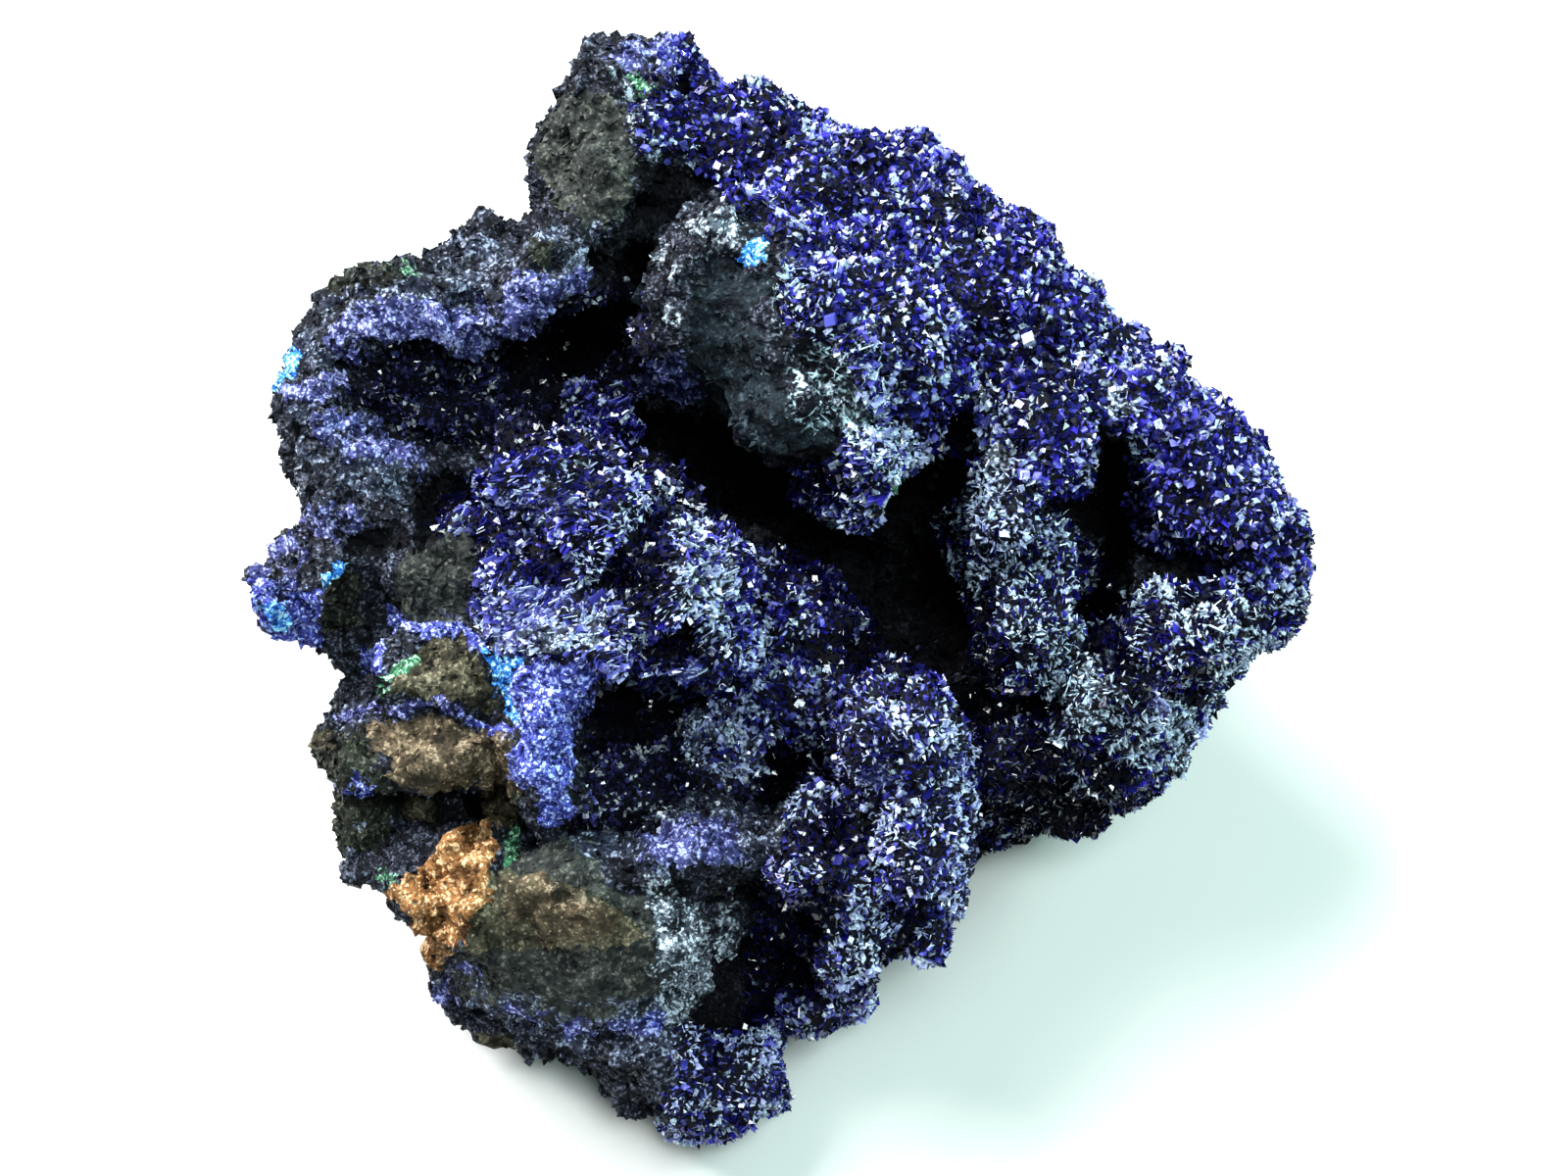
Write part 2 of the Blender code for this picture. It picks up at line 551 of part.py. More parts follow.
class RockSurface:
    """The rock's surface as the crusts see it: its tree in millimetres and, at each vertex, the way a crust
    is lifted off it and how far that way is clear."""

    def __init__(self, mesh):
        self.mesh = mesh
        corners = [v.co / MM for v in mesh.vertices]
        self.tree = BVHTree.FromPolygons(corners, [p.vertices for p in mesh.polygons])
        bm = bmesh.new()
        bm.from_mesh(mesh)
        bm.normal_update()
        self.lift = [self.way_out(v) for v in bm.verts]
        self.clear = [self.clearance(v.co, w.normalized()) for v, w in zip(bm.verts, self.lift)]
        self.blind = {i for i, way in enumerate(self.lift) if way.length > MOST_LIFT}
        bm.free()

    def way_out(self, vert):
        """The way that leaves every face round a vertex, as long as it must be to rise 1 off all of them."""
        way = vert.normal.copy()
        for _ in range(WAY_STEPS):
            worst = min(vert.link_faces, key=lambda f: f.normal.dot(way))
            if worst.normal.dot(way) > ENOUGH_RISE:
                break
            way = (way + worst.normal * WAY_TURN).normalized()
        least = min(f.normal.dot(way) for f in vert.link_faces)
        return way / max(least, LEAST_RISE)

    def clearance(self, place, normal):
        """How far the way out from a point of the rock is clear, in metres."""
        side = normal.orthogonal().normalized()
        other = normal.cross(side)
        most = LONGEST_LOOK
        start = place / MM + normal * LOOK_START
        for lean_side, lean_other in SIDEWAYS_LOOKS:
            way = (normal + side * lean_side + other * lean_other).normalized()
            _, _, _, distance = self.tree.ray_cast(start, way, most)
            if distance is not None:
                most = min(most, distance)
        return most * MM

    def around(self, vertices):
        """The vertices of every face that touches one of these vertices."""
        return {i for p in self.mesh.polygons if vertices & set(p.vertices) for i in p.vertices}


def crust_shell(surface, crust, to_face, faults, taken):
    """A closed shell over an area of the rock, whose outer faces are raised to crystal points, as a bmesh.
    It is thinner where it was at fault before, and leaves out the worst places."""
    worst = {i for i, times in faults.items() if times >= MOST_FAULTS}
    bm = crust_area(surface.mesh, crust, to_face, taken | surface.blind | worst)
    source = bm.verts.layers.int[SOURCE]
    of = {v: v[source] for v in bm.verts}
    gap = {}
    room = {}
    for vert, i in of.items():
        share = THINNER ** faults[i]
        gap[vert] = CRUST_GAP * MM * max(share, LEAST_GAP_SHARE)
        room[vert] = share * min(CRUST_THICKNESS * MM, surface.clear[i] * CLEAR_SHARE)

    under = bm.faces[:]
    copied = bmesh.ops.duplicate(bm, geom=bm.verts[:] + bm.edges[:] + under)
    outer_of = {a: b for a, b in copied["vert_map"].items() if a in of}
    outer_faces = [f for f in copied["geom"] if isinstance(f, bmesh.types.BMFace)]
    for vert, outer in outer_of.items():
        outer.co = vert.co + surface.lift[of[vert]] * (gap[vert] + room[vert])
        vert.co = vert.co + surface.lift[of[vert]] * gap[vert]
    outer_room = {outer: room[vert] for vert, outer in outer_of.items()}

    edges = [e for e in bm.edges if len(e.link_faces) == 1 and e.verts[0] in outer_of]
    for edge in edges:
        a, b = edge.verts
        bm.faces.new((a, b, outer_of[b], outer_of[a]))
    bmesh.ops.reverse_faces(bm, faces=under)
    raise_crystals(bm, outer_faces, outer_room, crust.seed)
    bmesh.ops.recalc_face_normals(bm, faces=bm.faces[:])
    bmesh.ops.triangulate(bm, faces=bm.faces[:])
    return bm


def crossing_sources(bm, rock_tree):
    """The rock's vertices under the shell's faces that cross the rock, or that cross each other."""
    bm.verts.index_update()
    bm.faces.ensure_lookup_table()
    source = bm.verts.layers.int[SOURCE]
    corners = [v.co / MM for v in bm.verts]
    shell = BVHTree.FromPolygons(corners, [[v.index for v in f.verts] for f in bm.faces])
    crossing = {i for i, _ in shell.overlap(rock_tree)}
    for i, j in shell.overlap(shell):
        if i < j and not set(bm.faces[i].verts) & set(bm.faces[j].verts):
            crossing.update((i, j))
    return {v[source] for i in crossing for v in bm.faces[i].verts} - {TIP}


def make_crust(surface, crust, to_face, taken):
    """A crust clear of the rock and of the crusts made before it; it then marks its own place as taken."""
    faults = Counter()
    bm = crust_shell(surface, crust, to_face, faults, taken)
    for _ in range(CRUST_TRIES):
        crossing = crossing_sources(bm, surface.tree)
        if not crossing:
            break
        faults.update(crossing)
        bm.free()
        bm = crust_shell(surface, crust, to_face, faults, taken)

    source = bm.verts.layers.int[SOURCE]
    taken |= surface.around({v[source] for v in bm.verts})
    made = new_object(crust.name, bm)
    made.data.materials.append(material(crust.name, crust.colour, 0.25))
    return made


def raise_crystals(bm, faces, room, seed):
    """Pairs triangles into four-sided faces and draws each one up to a leaning point."""
    draw = random.Random(seed)
    source = bm.verts.layers.int[SOURCE]
    bm.normal_update()
    joined = bmesh.ops.join_triangles(bm, faces=faces, angle_face_threshold=math.radians(BASE_BEND_DEG),
                                      angle_shape_threshold=math.radians(BASE_SKEW_DEG))
    bases = set(joined["faces"]) | {f for f in faces if f.is_valid}
    bases = sorted(bases, key=lambda f: tuple(f.calc_center_median()))
    for face in bases:
        free = min(room[v] for v in face.verts) / (CRUST_THICKNESS * MM)
        height = draw.uniform(*CRYSTAL_HEIGHT) * MM * free
        corner = draw.choice(face.verts[:])
        lean = (corner.co - face.calc_center_median()) * draw.uniform(0.0, CRYSTAL_LEAN)
        normal = face.normal.copy()
        tip = bmesh.ops.poke(bm, faces=[face])["verts"][0]
        tip.co += normal * height + lean
        tip[source] = TIP


def main():
    for obj in list(bpy.data.objects):
        bpy.data.objects.remove(obj)
    frame = face_frame()
    rock = make_rock(frame)
    to_face = frame.inverted()
    surface = RockSurface(rock.data)
    taken = set()
    for crust in CRUSTS:
        make_crust(surface, crust, to_face, taken)


main()
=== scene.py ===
"""Azurite specimen: the look of the rock, its stains and its crusts of crystals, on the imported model.

The rock's visible surface is made from a copy of its solid, with finer relief. Every crust of crystals is
one mesh of many small closed crystals that stand on that surface. Places are given in the frame of the
display face, in millimetres: u to the right across the face, v up the face and w out of it.
"""

import itertools
import logging
import math
from dataclasses import dataclass, field
from enum import Enum
from typing import Any

import bmesh
import bpy
import numpy as np
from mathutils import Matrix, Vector


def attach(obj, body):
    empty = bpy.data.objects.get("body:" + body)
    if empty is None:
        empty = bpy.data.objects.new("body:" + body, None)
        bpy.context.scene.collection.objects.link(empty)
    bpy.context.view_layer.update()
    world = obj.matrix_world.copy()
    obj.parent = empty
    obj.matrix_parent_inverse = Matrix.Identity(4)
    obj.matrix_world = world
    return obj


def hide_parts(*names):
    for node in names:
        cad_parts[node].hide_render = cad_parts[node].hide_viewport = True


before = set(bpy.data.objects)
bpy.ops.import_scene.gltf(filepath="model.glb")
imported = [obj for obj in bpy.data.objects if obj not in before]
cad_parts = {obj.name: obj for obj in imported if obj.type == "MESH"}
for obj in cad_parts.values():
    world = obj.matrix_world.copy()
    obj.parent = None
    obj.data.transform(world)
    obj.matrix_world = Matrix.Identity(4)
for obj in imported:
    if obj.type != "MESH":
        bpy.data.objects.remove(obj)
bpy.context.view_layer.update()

MM = 0.001
TINY = 1e-12
BODY = "root"
LOG = logging.getLogger("azurite_specimen")

Colour = tuple[float, float, float]
Outline = tuple[float, ...]
Socket = bpy.types.NodeSocket


class Stain(Enum):
    """What is at a place on the rock, each held in an attribute of this name.

    Most are colours. SWIRL is pale curls, SHADE is painted shade that darkens deep hollows and gaps, GLEAM
    takes that painted shade away, TRIM moves the outline inwards, DRUSE is rock under crystals, painted near
    black as the shade in the gaps between them, and HIGH is how far the surface stands out, by which low
    places get painted shade.
    """

    DRUSE = "druse"
    ASH = "ash"
    SLATE = "slate"
    OLIVE = "olive"
    BROWN = "brown"
    TAN = "tan"
    OCHRE = "ochre"
    FROST = "rime"
    PALE = "pale"
    LAVENDER = "lavender"
    COBALT = "cobalt"
    SKY = "sky"
    GREEN = "green"
    SWIRL = "swirl"
    GLEAM = "gleam"
    TRIM = "trim"
    SHADE = "shade"
    HIGH = "high"


@dataclass(frozen=True)
class FaceFrame:
    """The frame of the display face, which leans back over the base."""

    lean_degrees: float = 55.0
    height: float = 40.0
    distance: float = 232.0

    def axes(self) -> np.ndarray:
        """Returns u, v and w as rows in world directions."""
        lean = math.radians(self.lean_degrees)
        rise, run = math.sin(lean), math.cos(lean)
        return np.array(((1, 0, 0), (0, rise, run), (0, -run, rise)))

    def from_world(self, points: np.ndarray) -> np.ndarray:
        """Turns world points in metres into places on the face.

        Args:
            points: World points, one a row.

        Returns:
            Their u, v and w in millimetres.
        """
        return (points / MM - (0, 0, self.height)) @ self.axes().T

    def to_world(self, points: np.ndarray) -> np.ndarray:
        """Turns places on the face into world points in metres.

        Args:
            points: u, v and w in millimetres, one place a row.

        Returns:
            World points in metres.
        """
        return (np.asarray(points, float) @ self.axes() + (0, 0, self.height)) * MM

    def seen(self, places: np.ndarray) -> np.ndarray:
        """Projects places onto the plane of the face, as they are seen from in front.

        Args:
            places: u, v and w, one place a row.

        Returns:
            Where each is seen, across and up, in millimetres.
        """
        return places[:, :2] * (self.distance / (self.distance - places[:, 2:3]))


FACE = FaceFrame()


def smooth_step(values: np.ndarray, low: float, high: float) -> np.ndarray:
    """Returns 0 below low, 1 above high and a smooth rise between them."""
    share = np.clip((values - low) / (high - low), 0, 1)
    return share * share * (3 - 2 * share)


def unit(rows: np.ndarray, least: float = 0.0) -> np.ndarray:
    """Returns each row divided by its length, to which `least` is added so that it can't be 0."""
    return rows / (np.linalg.norm(rows, axis=1, keepdims=True) + least)


class Grain:
    """Seeded noise read at points, for shaping surfaces and for ragged borders."""

    TABLE = 4096
    PRIMES = (73856093, 19349663, 83492791)
    GAIN = 1.6
    LAYER_SHIFT = 7.3

    def __init__(self, seed: int) -> None:
        """Draws the tables of directions and offsets.

        Args:
            seed: What makes this noise differ from another.
        """
        draw = np.random.default_rng(seed)
        self.ways = unit(draw.normal(size=(self.TABLE, 3)))
        self.offsets = draw.random((self.TABLE, 3))
        self.values = draw.random(self.TABLE)

    def slot(self, cells: np.ndarray) -> np.ndarray:
        """Returns the row of the tables that each whole-numbered cell uses."""
        return np.mod(np.bitwise_xor.reduce(cells * np.array(self.PRIMES), axis=1), self.TABLE)

    def soft(self, points: np.ndarray, size: float) -> np.ndarray:
        """Reads smooth noise.

        Args:
            points: Points, one a row.
            size: Width of a bump, in the same unit.

        Returns:
            Values from about -1 to 1.
        """
        cell = points / size
        base = np.floor(cell).astype(np.int64)
        part = cell - base
        fade = part**3 * (part * (part * 6 - 15) + 10)
        total = np.zeros(len(points))
        for corner in itertools.product((0, 1), repeat=3):
            ways = self.ways[self.slot(base + corner)]
            share = np.prod(np.where(corner, fade, 1 - fade), axis=1)
            total += np.einsum("ij,ij->i", ways, part - corner) * share
        return total * self.GAIN

    def cloud(self, points: np.ndarray, size: float, octaves: int = 3) -> np.ndarray:
        """Reads noise with finer noise on it.

        Args:
            points: Points, one a row.
            size: Width of the broadest bumps.
            octaves: How many sizes, each half the last.

        Returns:
            Values from about -1 to 1.
        """
        layers = [self.soft(points + self.LAYER_SHIFT * k, size / 2**k) / 2**k for k in range(octaves)]
        return np.sum(layers, axis=0)

    def vectors(self, points: np.ndarray, size: float, shifts: tuple[float, ...]) -> np.ndarray:
        """Reads smooth noise in several directions.

        Args:
            points: Points, one a row.
            size: Width of a bump.
            shifts: How far the points are moved for each direction's noise.

        Returns:
            A row for each point, with a number for each shift.
        """
        return np.stack([self.soft(points + shift, size) for shift in shifts], axis=1)

    def cells(self, points: np.ndarray, size: float) -> tuple[np.ndarray, np.ndarray, np.ndarray]:
        """Reads a pattern of irregular cells.

        Args:
            points: Points, one a row.
            size: Width of a cell.

        Returns:
            The distance to the nearest centre and to the next nearest, in cells, and a value for the cell.
        """
        cell = points / size
        base = np.floor(cell).astype(np.int64)
        nearest = np.full(len(points), np.inf)
        second = np.full(len(points), np.inf)
        owner = np.zeros(len(points))
        for step in itertools.product((-1, 0, 1), repeat=3):
            slots = self.slot(base + step)
            away = np.linalg.norm(base + step + self.offsets[slots] - cell, axis=1)
            closer = away < nearest
            second = np.where(closer, nearest, np.minimum(second, away))
            owner = np.where(closer, self.values[slots], owner)
            nearest = np.where(closer, away, nearest)
        return nearest, second, owner


def corners_of(outline: Outline) -> np.ndarray:
    """Returns an outline's corners, one a row, from u and v of each in turn."""
    return np.reshape(np.array(outline, float), (-1, 2))


def inset(outline: Outline, spots: np.ndarray) -> np.ndarray:
    """Measures how far inside an outline each spot is.

    Args:
        outline: The outline, in millimetres.
        spots: Where each place is seen on the face.

    Returns:
        The distance to the outline, below 0 outside it.
    """
    inside = np.zeros(len(spots), bool)
    nearest = np.full(len(spots), np.inf)
    corners = corners_of(outline)
    for start, end in zip(corners, np.roll(corners, -1, axis=0)):
        side = end - start
        along = np.clip(((spots - start) @ side) / (side @ side), 0, 1)
        nearest = np.minimum(nearest, np.linalg.norm(spots - start - along[:, None] * side, axis=1))
        spans = (start[1] > spots[:, 1]) != (end[1] > spots[:, 1])
        rise = side[1] if side[1] else TINY
        inside ^= spans & (spots[:, 0] < start[0] + (spots[:, 1] - start[1]) / rise * side[0])
    return np.where(inside, nearest, -nearest)


def facing_front(outwards: np.ndarray) -> np.ndarray:
    """Returns 1 where the surface can be seen from in front, and 0 from a little way round its edge."""
    return smooth_step(outwards[:, 2], -0.4, -0.1)


def facing_back(outwards: np.ndarray) -> np.ndarray:
    """Returns 1 where the surface is turned well away from the front."""
    return smooth_step(-outwards[:, 2], 0.1, 0.5)


@dataclass(frozen=True)
class Zone:
    """An outlined place on the face: its stain, how strong it is, and how far the surface is pushed."""

    stain: Stain
    name: str
    outline: Outline
    strength: float = 1.0
    push: float = 0.0
    soft: float = 0.9

    def weight(self, spots: np.ndarray) -> np.ndarray:
        """Returns how far into the zone each spot is, from 0 to 1 across its soft border."""
        found = np.zeros(len(spots))
        corners = corners_of(self.outline)
        least, most = corners.min(axis=0) - self.soft, corners.max(axis=0) + self.soft
        near = np.all((spots > least) & (spots < most), axis=1)
        found[near] = smooth_step(inset(self.outline, spots[near]), -0.5 * self.soft, 0.5 * self.soft)
        return found


def zones(stain: Stain, *rows: tuple[Any, ...]) -> tuple[Zone, ...]:
    """Makes the zones of one stain.

    Args:
        stain: The stain.
        *rows: Each zone's name and outline, and its strength, push and softness if they aren't the usual.

    Returns:
        The zones.
    """
    return tuple(Zone(stain, *row) for row in rows)


ZONES: tuple[Zone, ...] = (
    *zones(
        Stain.ASH,
        ("apex_face", (-22.1, 38.3, -20.7, 42.1, -18.8, 44.1, -15.4, 44.1, -13.9, 41.7, -13.2, 37.8,
         -13.7, 34.5, -15.4, 32.5, -17.8, 31.5, -20.2, 33.9), 0.95, 0.2),
        ("left_facet", (-34, 2, -32.5, 4, -30, 6, -28, 6, -27.3, 2, -27.3, -1, -28.5, -3.3, -30, -3.6,
         -33, -2.8, -34.5, -1), 1, 0.3),
        ("broad_face", (-24, -23.5, -20, -22.5, -17, -23, -16, -26.5, -12, -27.5, -11, -30, -11.5, -34,
         -10.5, -37.5, -16, -38.5, -22, -38, -26, -37, -28, -36.5, -29.5, -33.5, -28, -31.5, -26, -30,
         -26, -26), 0.95, 0.2),
        ("broad_ash", (-27, -32.2, -20, -31.8, -12, -31.4, -10.6, -36, -18, -36.2, -26, -34.4), 0.9),
    ),
    *zones(
        Stain.SLATE,
        ("middle_facet", (-8.5, 27.5, -7, 29.5, -4.5, 29.5, -3.5, 28, -0.5, 27.8, -1.5, 26, -3, 25,
         -2.5, 23, -1.5, 21.5, -3, 20.5, -6, 20, -8.3, 21, -8, 24), 1, -0.4),
        ("middle_belly", (-8.5, 21, -6, 20, -3, 20.5, -0.5, 19.5, 0.5, 17, 3.5, 14.5, 5, 13, 3.5, 11.5,
         0, 12, -3, 10.5, -5, 14, -8, 17.5), 0.9),
    ),
    *zones(
        Stain.OLIVE,
        ("olive_bump", (-22.4, 29, -22.2, 30.6, -20.8, 30.8, -20.4, 29.6, -21.3, 28.6), 1, 0.7),
        ("knob_cap", (-46.2, 3.6, -45.2, 5, -43.6, 5, -42.8, 4.3, -44.5, 3.2), 0.9, 0.4),
        ("knob_dark", (-42, 0.2, -38.8, 2.4, -37.4, 0.8, -37.4, -3, -39, -4.2, -42, -4), 0.6),
        ("cheek_rock", (-42, -13, -40, -12.3, -37, -13, -36, -15.5, -34, -18, -27, -18.2, -24, -15.5,
         -22.5, -18, -23.5, -21, -27, -20.6, -34, -20.8, -36, -23, -39, -23.8, -41, -19.5), 0.75),
        ("wing_edge", (-41.5, 24.5, -40.5, 28, -39, 29.8, -36, 28.8, -33, 29.2, -33.5, 27, -36, 25.6,
         -39, 24.5), 0.55),
    ),
    *zones(
        Stain.BROWN,
        ("brown_upper", (-33, -5.5, -31, -4.4, -28.5, -4.4, -27, -6, -25.8, -9, -24.8, -11, -26, -11.2,
         -29, -10, -32, -9.5, -35.5, -9.6, -34, -7.6), 0.8, 0.3),
        ("broad_brown", (-27.5, -25, -24, -25.4, -20, -25.8, -15, -28, -12, -31, -16, -31.8, -22, -32,
         -28.5, -32.3), 0.9),
        ("cheek_brown", (-42.2, -13, -40.2, -12.1, -40, -14, -41.6, -14.6), 0.8),
        ("under_brown", (-27.4, -39.2, -24, -39.8, -23, -42, -26, -41.8), 0.9),
    ),
    *zones(
        Stain.TAN,
        ("brown_lower", (-37.5, -12.5, -34.5, -11.7, -31, -11.3, -27.5, -12.5, -26, -14.5, -26.5, -16.5,
         -28.5, -17.4, -31, -17.9, -34, -17.3, -34.8, -15.8, -36.5, -14.5), 1, 0.5),
        ("brown_strip", (-27, -12.5, -25, -12.4, -23.6, -14, -23, -18, -24, -21.5, -26.6, -21, -27, -17),
         0.7, 0.3),
        ("broad_tan", (-21.5, -27.8, -18, -27.6, -14, -28.4, -15, -30.4, -18, -31, -21.5, -31.4), 1, 0.4),
        ("broad_tan_left", (-25.6, -26, -21, -25.2, -19.6, -27.6, -21.6, -29.4, -24.6, -29.6), 0.9, 0.3),
    ),
    *zones(
        Stain.OCHRE,
        ("ochre_shoulder", (-27.5, -20.5, -26.2, -21, -26, -23.5, -26.5, -27, -27.5, -29, -29, -31,
         -30.5, -33.5, -31.8, -33, -32.5, -31, -33, -29, -34, -27.6, -35.4, -26.8, -32.5, -25, -31, -23.5,
         -29.5, -22), 1, 0.5),
    ),
    *zones(
        Stain.FROST,
        ("wing_grains", (-44, 20, -42, 25, -39, 27, -33, 27.6, -30, 30.5, -26, 31.5, -21.5, 31.5, -17, 33,
         -14.5, 31.5, -17.5, 29, -18, 26.8, -24, 24.2, -31, 23, -37, 21.8, -40.5, 19.5), 0.62, 0.2),
        ("wing_foot", (-44, 16.5, -41, 15.6, -38, 12, -34, 10, -32.5, 8.2, -34, 7.6, -38, 8.2, -41.5, 10.8,
         -44, 12.5), 0.8, 0.2),
        ("ridge_streaks", (-25, -4.6, -20, -2.6, -16, -2.6, -12.5, -3, -11, -3.2, -12.5, -4.4, -16, -5,
         -20, -5.6, -23.5, -6.2), 1, 0.2),
        ("tail_neck", (-20, -22.5, -18.5, -21, -16, -22, -13, -23.3, -12, -24.2, -15, -24.5, -18, -24), 0.9,
         0.2),
        ("facet_thread", (-30.6, -1.4, -29.6, -1.7, -27, -4.4, -26.2, -5.6, -27.6, -4.6, -30, -2.4), 1,
         0.2),
        ("pit_lobe", (-9.5, -11, -7.5, -10, -4, -10.2, -2, -12, -1.5, -15, -3, -17, -6, -16.6, -8.6, -14.5),
         0.8, 0.3),
        ("sill", (-13, -21, -8, -19, -4, -18.8, 0, -20, 0, -23, -3, -25, -8, -24.6, -13, -24.4), 0.7, 0.3),
        ("slope_left_pale", (8.6, 25, 13, 25, 14.4, 19, 13.8, 14, 10, 14, 9, 18), 0.5, 0.3),
        ("chin_edge_bright", (7.4, 9.3, 9, 11, 12.8, 13.2, 13.6, 12.3, 10, 10.2, 8.2, 9), 0.9),
        ("white_low_bright", (25.2, 10.8, 25.6, 12.8, 27.4, 12.4, 27.2, 10.4)),
        ("white_high_bright", (27.4, 15.4, 28.4, 18, 30, 17.6, 29.8, 15), 0.8),
        ("crust_edge_bright", (-14, -24, -10.4, -24.8, -7.6, -29, -6.8, -33, -8, -37, -9.6, -36, -9.6, -31,
         -11, -28, -13.4, -26.2), 1, 0.3),
        ("hem_frost", (-28.5, -34.4, -24, -35.4, -18, -36.4, -12, -36, -9.5, -37.6, -10, -42, -16, -42,
         -23, -39.6, -28, -37.4), 0.85),
        ("wing_low_pale", (-40, 14.6, -36.6, 13.4, -33.4, 11, -34.6, 9.4, -38, 11, -41, 12.6), 0.9, 0.4),
    ),
    *zones(
        Stain.PALE,
        ("middle_rim", (-11.5, 29, -10, 31.5, -7.5, 33.5, -4, 33.8, -3, 32, -4, 30, -6.5, 29.5, -8.5, 28.3,
         -9, 25.5, -8.5, 22, -9.5, 21, -10.5, 24, -11.3, 27), 0.55, 0.3),
        ("wing_pale", (-25.5, 28, -22, 27.6, -18.2, 28.4, -18.5, 26.8, -22, 25.8, -24.5, 24.2, -26.5, 24.4,
         -25, 26.4), 0.7, 0.2),
        ("wing_plate", (-44.2, 8, -43.6, 10.8, -42.2, 10.6, -41.2, 9.3, -42.5, 7.8), 0.7, 0.4),
        ("apex_grains", (-16.5, 46, -14, 45, -12, 42, -10.5, 40.5, -10.5, 38.5, -12.5, 38, -13.6, 39.5,
         -13.6, 41.7, -15.2, 44.2), 0.75, 0.2),
        ("right_green_blades", (34, -1, 37, -0.8, 37.4, -3, 35, -3.6, 33.6, -2.4), 0.8),
        ("chin_blades", (5.5, 9.5, 8.5, 10.4, 12, 12.5, 11.8, 14.5, 8.5, 13, 8, 8, 7.5, 5, 5, 5), 0.8, 0.2),
        ("ridge_blades", (-9.8, 6.5, -7.6, 6.2, -6, 3, -5, 0, -5, -5.6, -6.8, -6.6, -7.6, -4.5, -8.2, -1.6,
         -9.8, -1, -10.2, 2), 1, 0.4),
        ("streaks_pale", (-20, -2.4, -15, -3, -11.5, -3.6, -12.5, -5.2, -17, -5.6, -20, -5.2), 0.7),
        ("right_column", (16.5, 20, 19, 19.5, 20.5, 14, 20.5, 9, 23, 5, 23, 1, 20, 0.5, 16.5, 1, 15.5, 4,
         15.5, 8, 17, 11.5, 16.5, 15), 0.85, 0.2),
        ("right_low_pale", (23, -7, 28, -6.5, 32, -10, 33, -13.5, 30, -14.5, 26, -12, 23, -10), 0.9),
        ("right_low_white", (33, -9.5, 37.8, -9.5, 38, -14, 37, -18, 33.5, -16.5, 32.5, -13), 1, 0.2),
        ("right_knob", (37.5, -1.5, 42, -1.5, 42.5, -5, 40.5, -8.5, 38, -9, 37.5, -5), 0.6),
        ("right_ledge", (38.2, 3.2, 41, 3.6, 42.5, 1, 42, -1.5, 39.5, -0.8, 38.2, 1), 0.6, 0.3),
        ("right_tip_white", (43.6, 1.2, 45.4, 1.2, 45.4, -0.8, 43.8, -0.8), 0.9),
        ("front_arc", (-0.8, -20.4, 2, -18, 6, -17.8, 9.8, -20, 10.4, -24, 9.6, -29, 8, -32, 5, -33.6,
         4.2, -31, 5.4, -27, 7.6, -25, 7.4, -21.6, 5, -19.8, 2, -20.4, 0, -22.4), 0.85, 0.4),
        ("front_white", (0.6, -24.2, 2.2, -24.2, 2.4, -25.8, 0.8, -26), 1, 0.4),
        ("front_left_blade", (-6.2, -28.5, -4.6, -26.4, -3.4, -28, -3.6, -31, -5.4, -33, -7, -31.6), 0.9,
         0.8),
        ("crust_edge", (-14, -24.8, -10.4, -25.4, -7.4, -29.4, -6.6, -32.5, -7.4, -36, -9, -39, -11, -38.6,
         -11.6, -34, -11.6, -30, -12.6, -27), 1, 0.3),
        ("slope_white_high", (27.4, 15.8, 28.6, 17.8, 29.8, 17.4, 29.4, 15.4), 1, 0.3),
        ("slope_white_low", (25.2, 10.8, 26, 12.6, 27.2, 12, 26.8, 10.6), 1, 0.4),
        ("apex_white", (-8.8, 41.8, -7.8, 43, -7, 42.4, -7.8, 41.4), 1, 0.3),
        ("belly_pale", (-1, 25, 3, 27, 6, 23, 8.5, 19, 9.5, 14.5, 13, 13, 12, 11, 8, 9.6, 4, 10.6, 2, 14,
         -2, 17, -3, 22), 0.35, 0.2),
        ("right_column_low", (19.8, 0.5, 22, 0.6, 25.4, -3, 25.9, -7.6, 22, -8, 20.6, -5), 0.75),
        ("chin_edge", (7.4, 9.3, 9, 11, 12.8, 13.2, 13.6, 12.3, 10, 10.2, 8.2, 9), 1, 0.5),
        ("ridge_ribs", (-20.5, 2.8, -17.5, 5.6, -14, 8.8, -9.5, 9.8, -7.6, 8.6, -7.6, 6.2, -10.5, 5.6,
         -13.5, 3.4, -17, 1.6), 0.75, 0.3),
        ("ridge_mint", (-21, 0.8, -18, 2.6, -13, 1.6, -11, 0.4, -12.4, -1.6, -16, -2.2, -19.5, -0.2), 0.7),
        ("wing_bright", (-32, 23.6, -28, 22.6, -24.6, 23.4, -22.6, 25.4, -25, 26, -28, 25.2, -31.5, 25.4),
         1, 1.8),
        ("swirls_pale", (3.4, 18.6, 6, 20, 8.6, 18, 9.6, 14.6, 12.6, 12.8, 10.6, 11.2, 6, 12.4, 4, 15),
         0.85, 0.3),
    ),
    *zones(
        Stain.LAVENDER,
        ("wing_rim", (-37, 22, -34, 22.6, -31, 23.4, -28, 22.8, -26, 23.2, -24, 24.5, -22, 25.5, -20, 26.6,
         -18, 27.2, -18, 28.8, -21, 28.2, -24, 28.2, -25.5, 26.2, -28, 25.6, -31, 25.6, -34, 26.2,
         -37, 25.2, -39, 24, -41, 22, -39.5, 20.3, -38.2, 20.3), 1, 0.9),
        ("wing_left", (-45, 18, -42, 18.5, -40, 19.5, -38.6, 19, -39, 17, -41, 16, -44, 16.6), 0.9, 0.2),
        ("wing_low", (-40, 16, -38, 15.6, -35.5, 14, -33, 12.5, -31.5, 10.5, -33, 9.6, -36, 11, -38.5, 11.2,
         -41, 12.5, -42, 14.5), 1, 1),
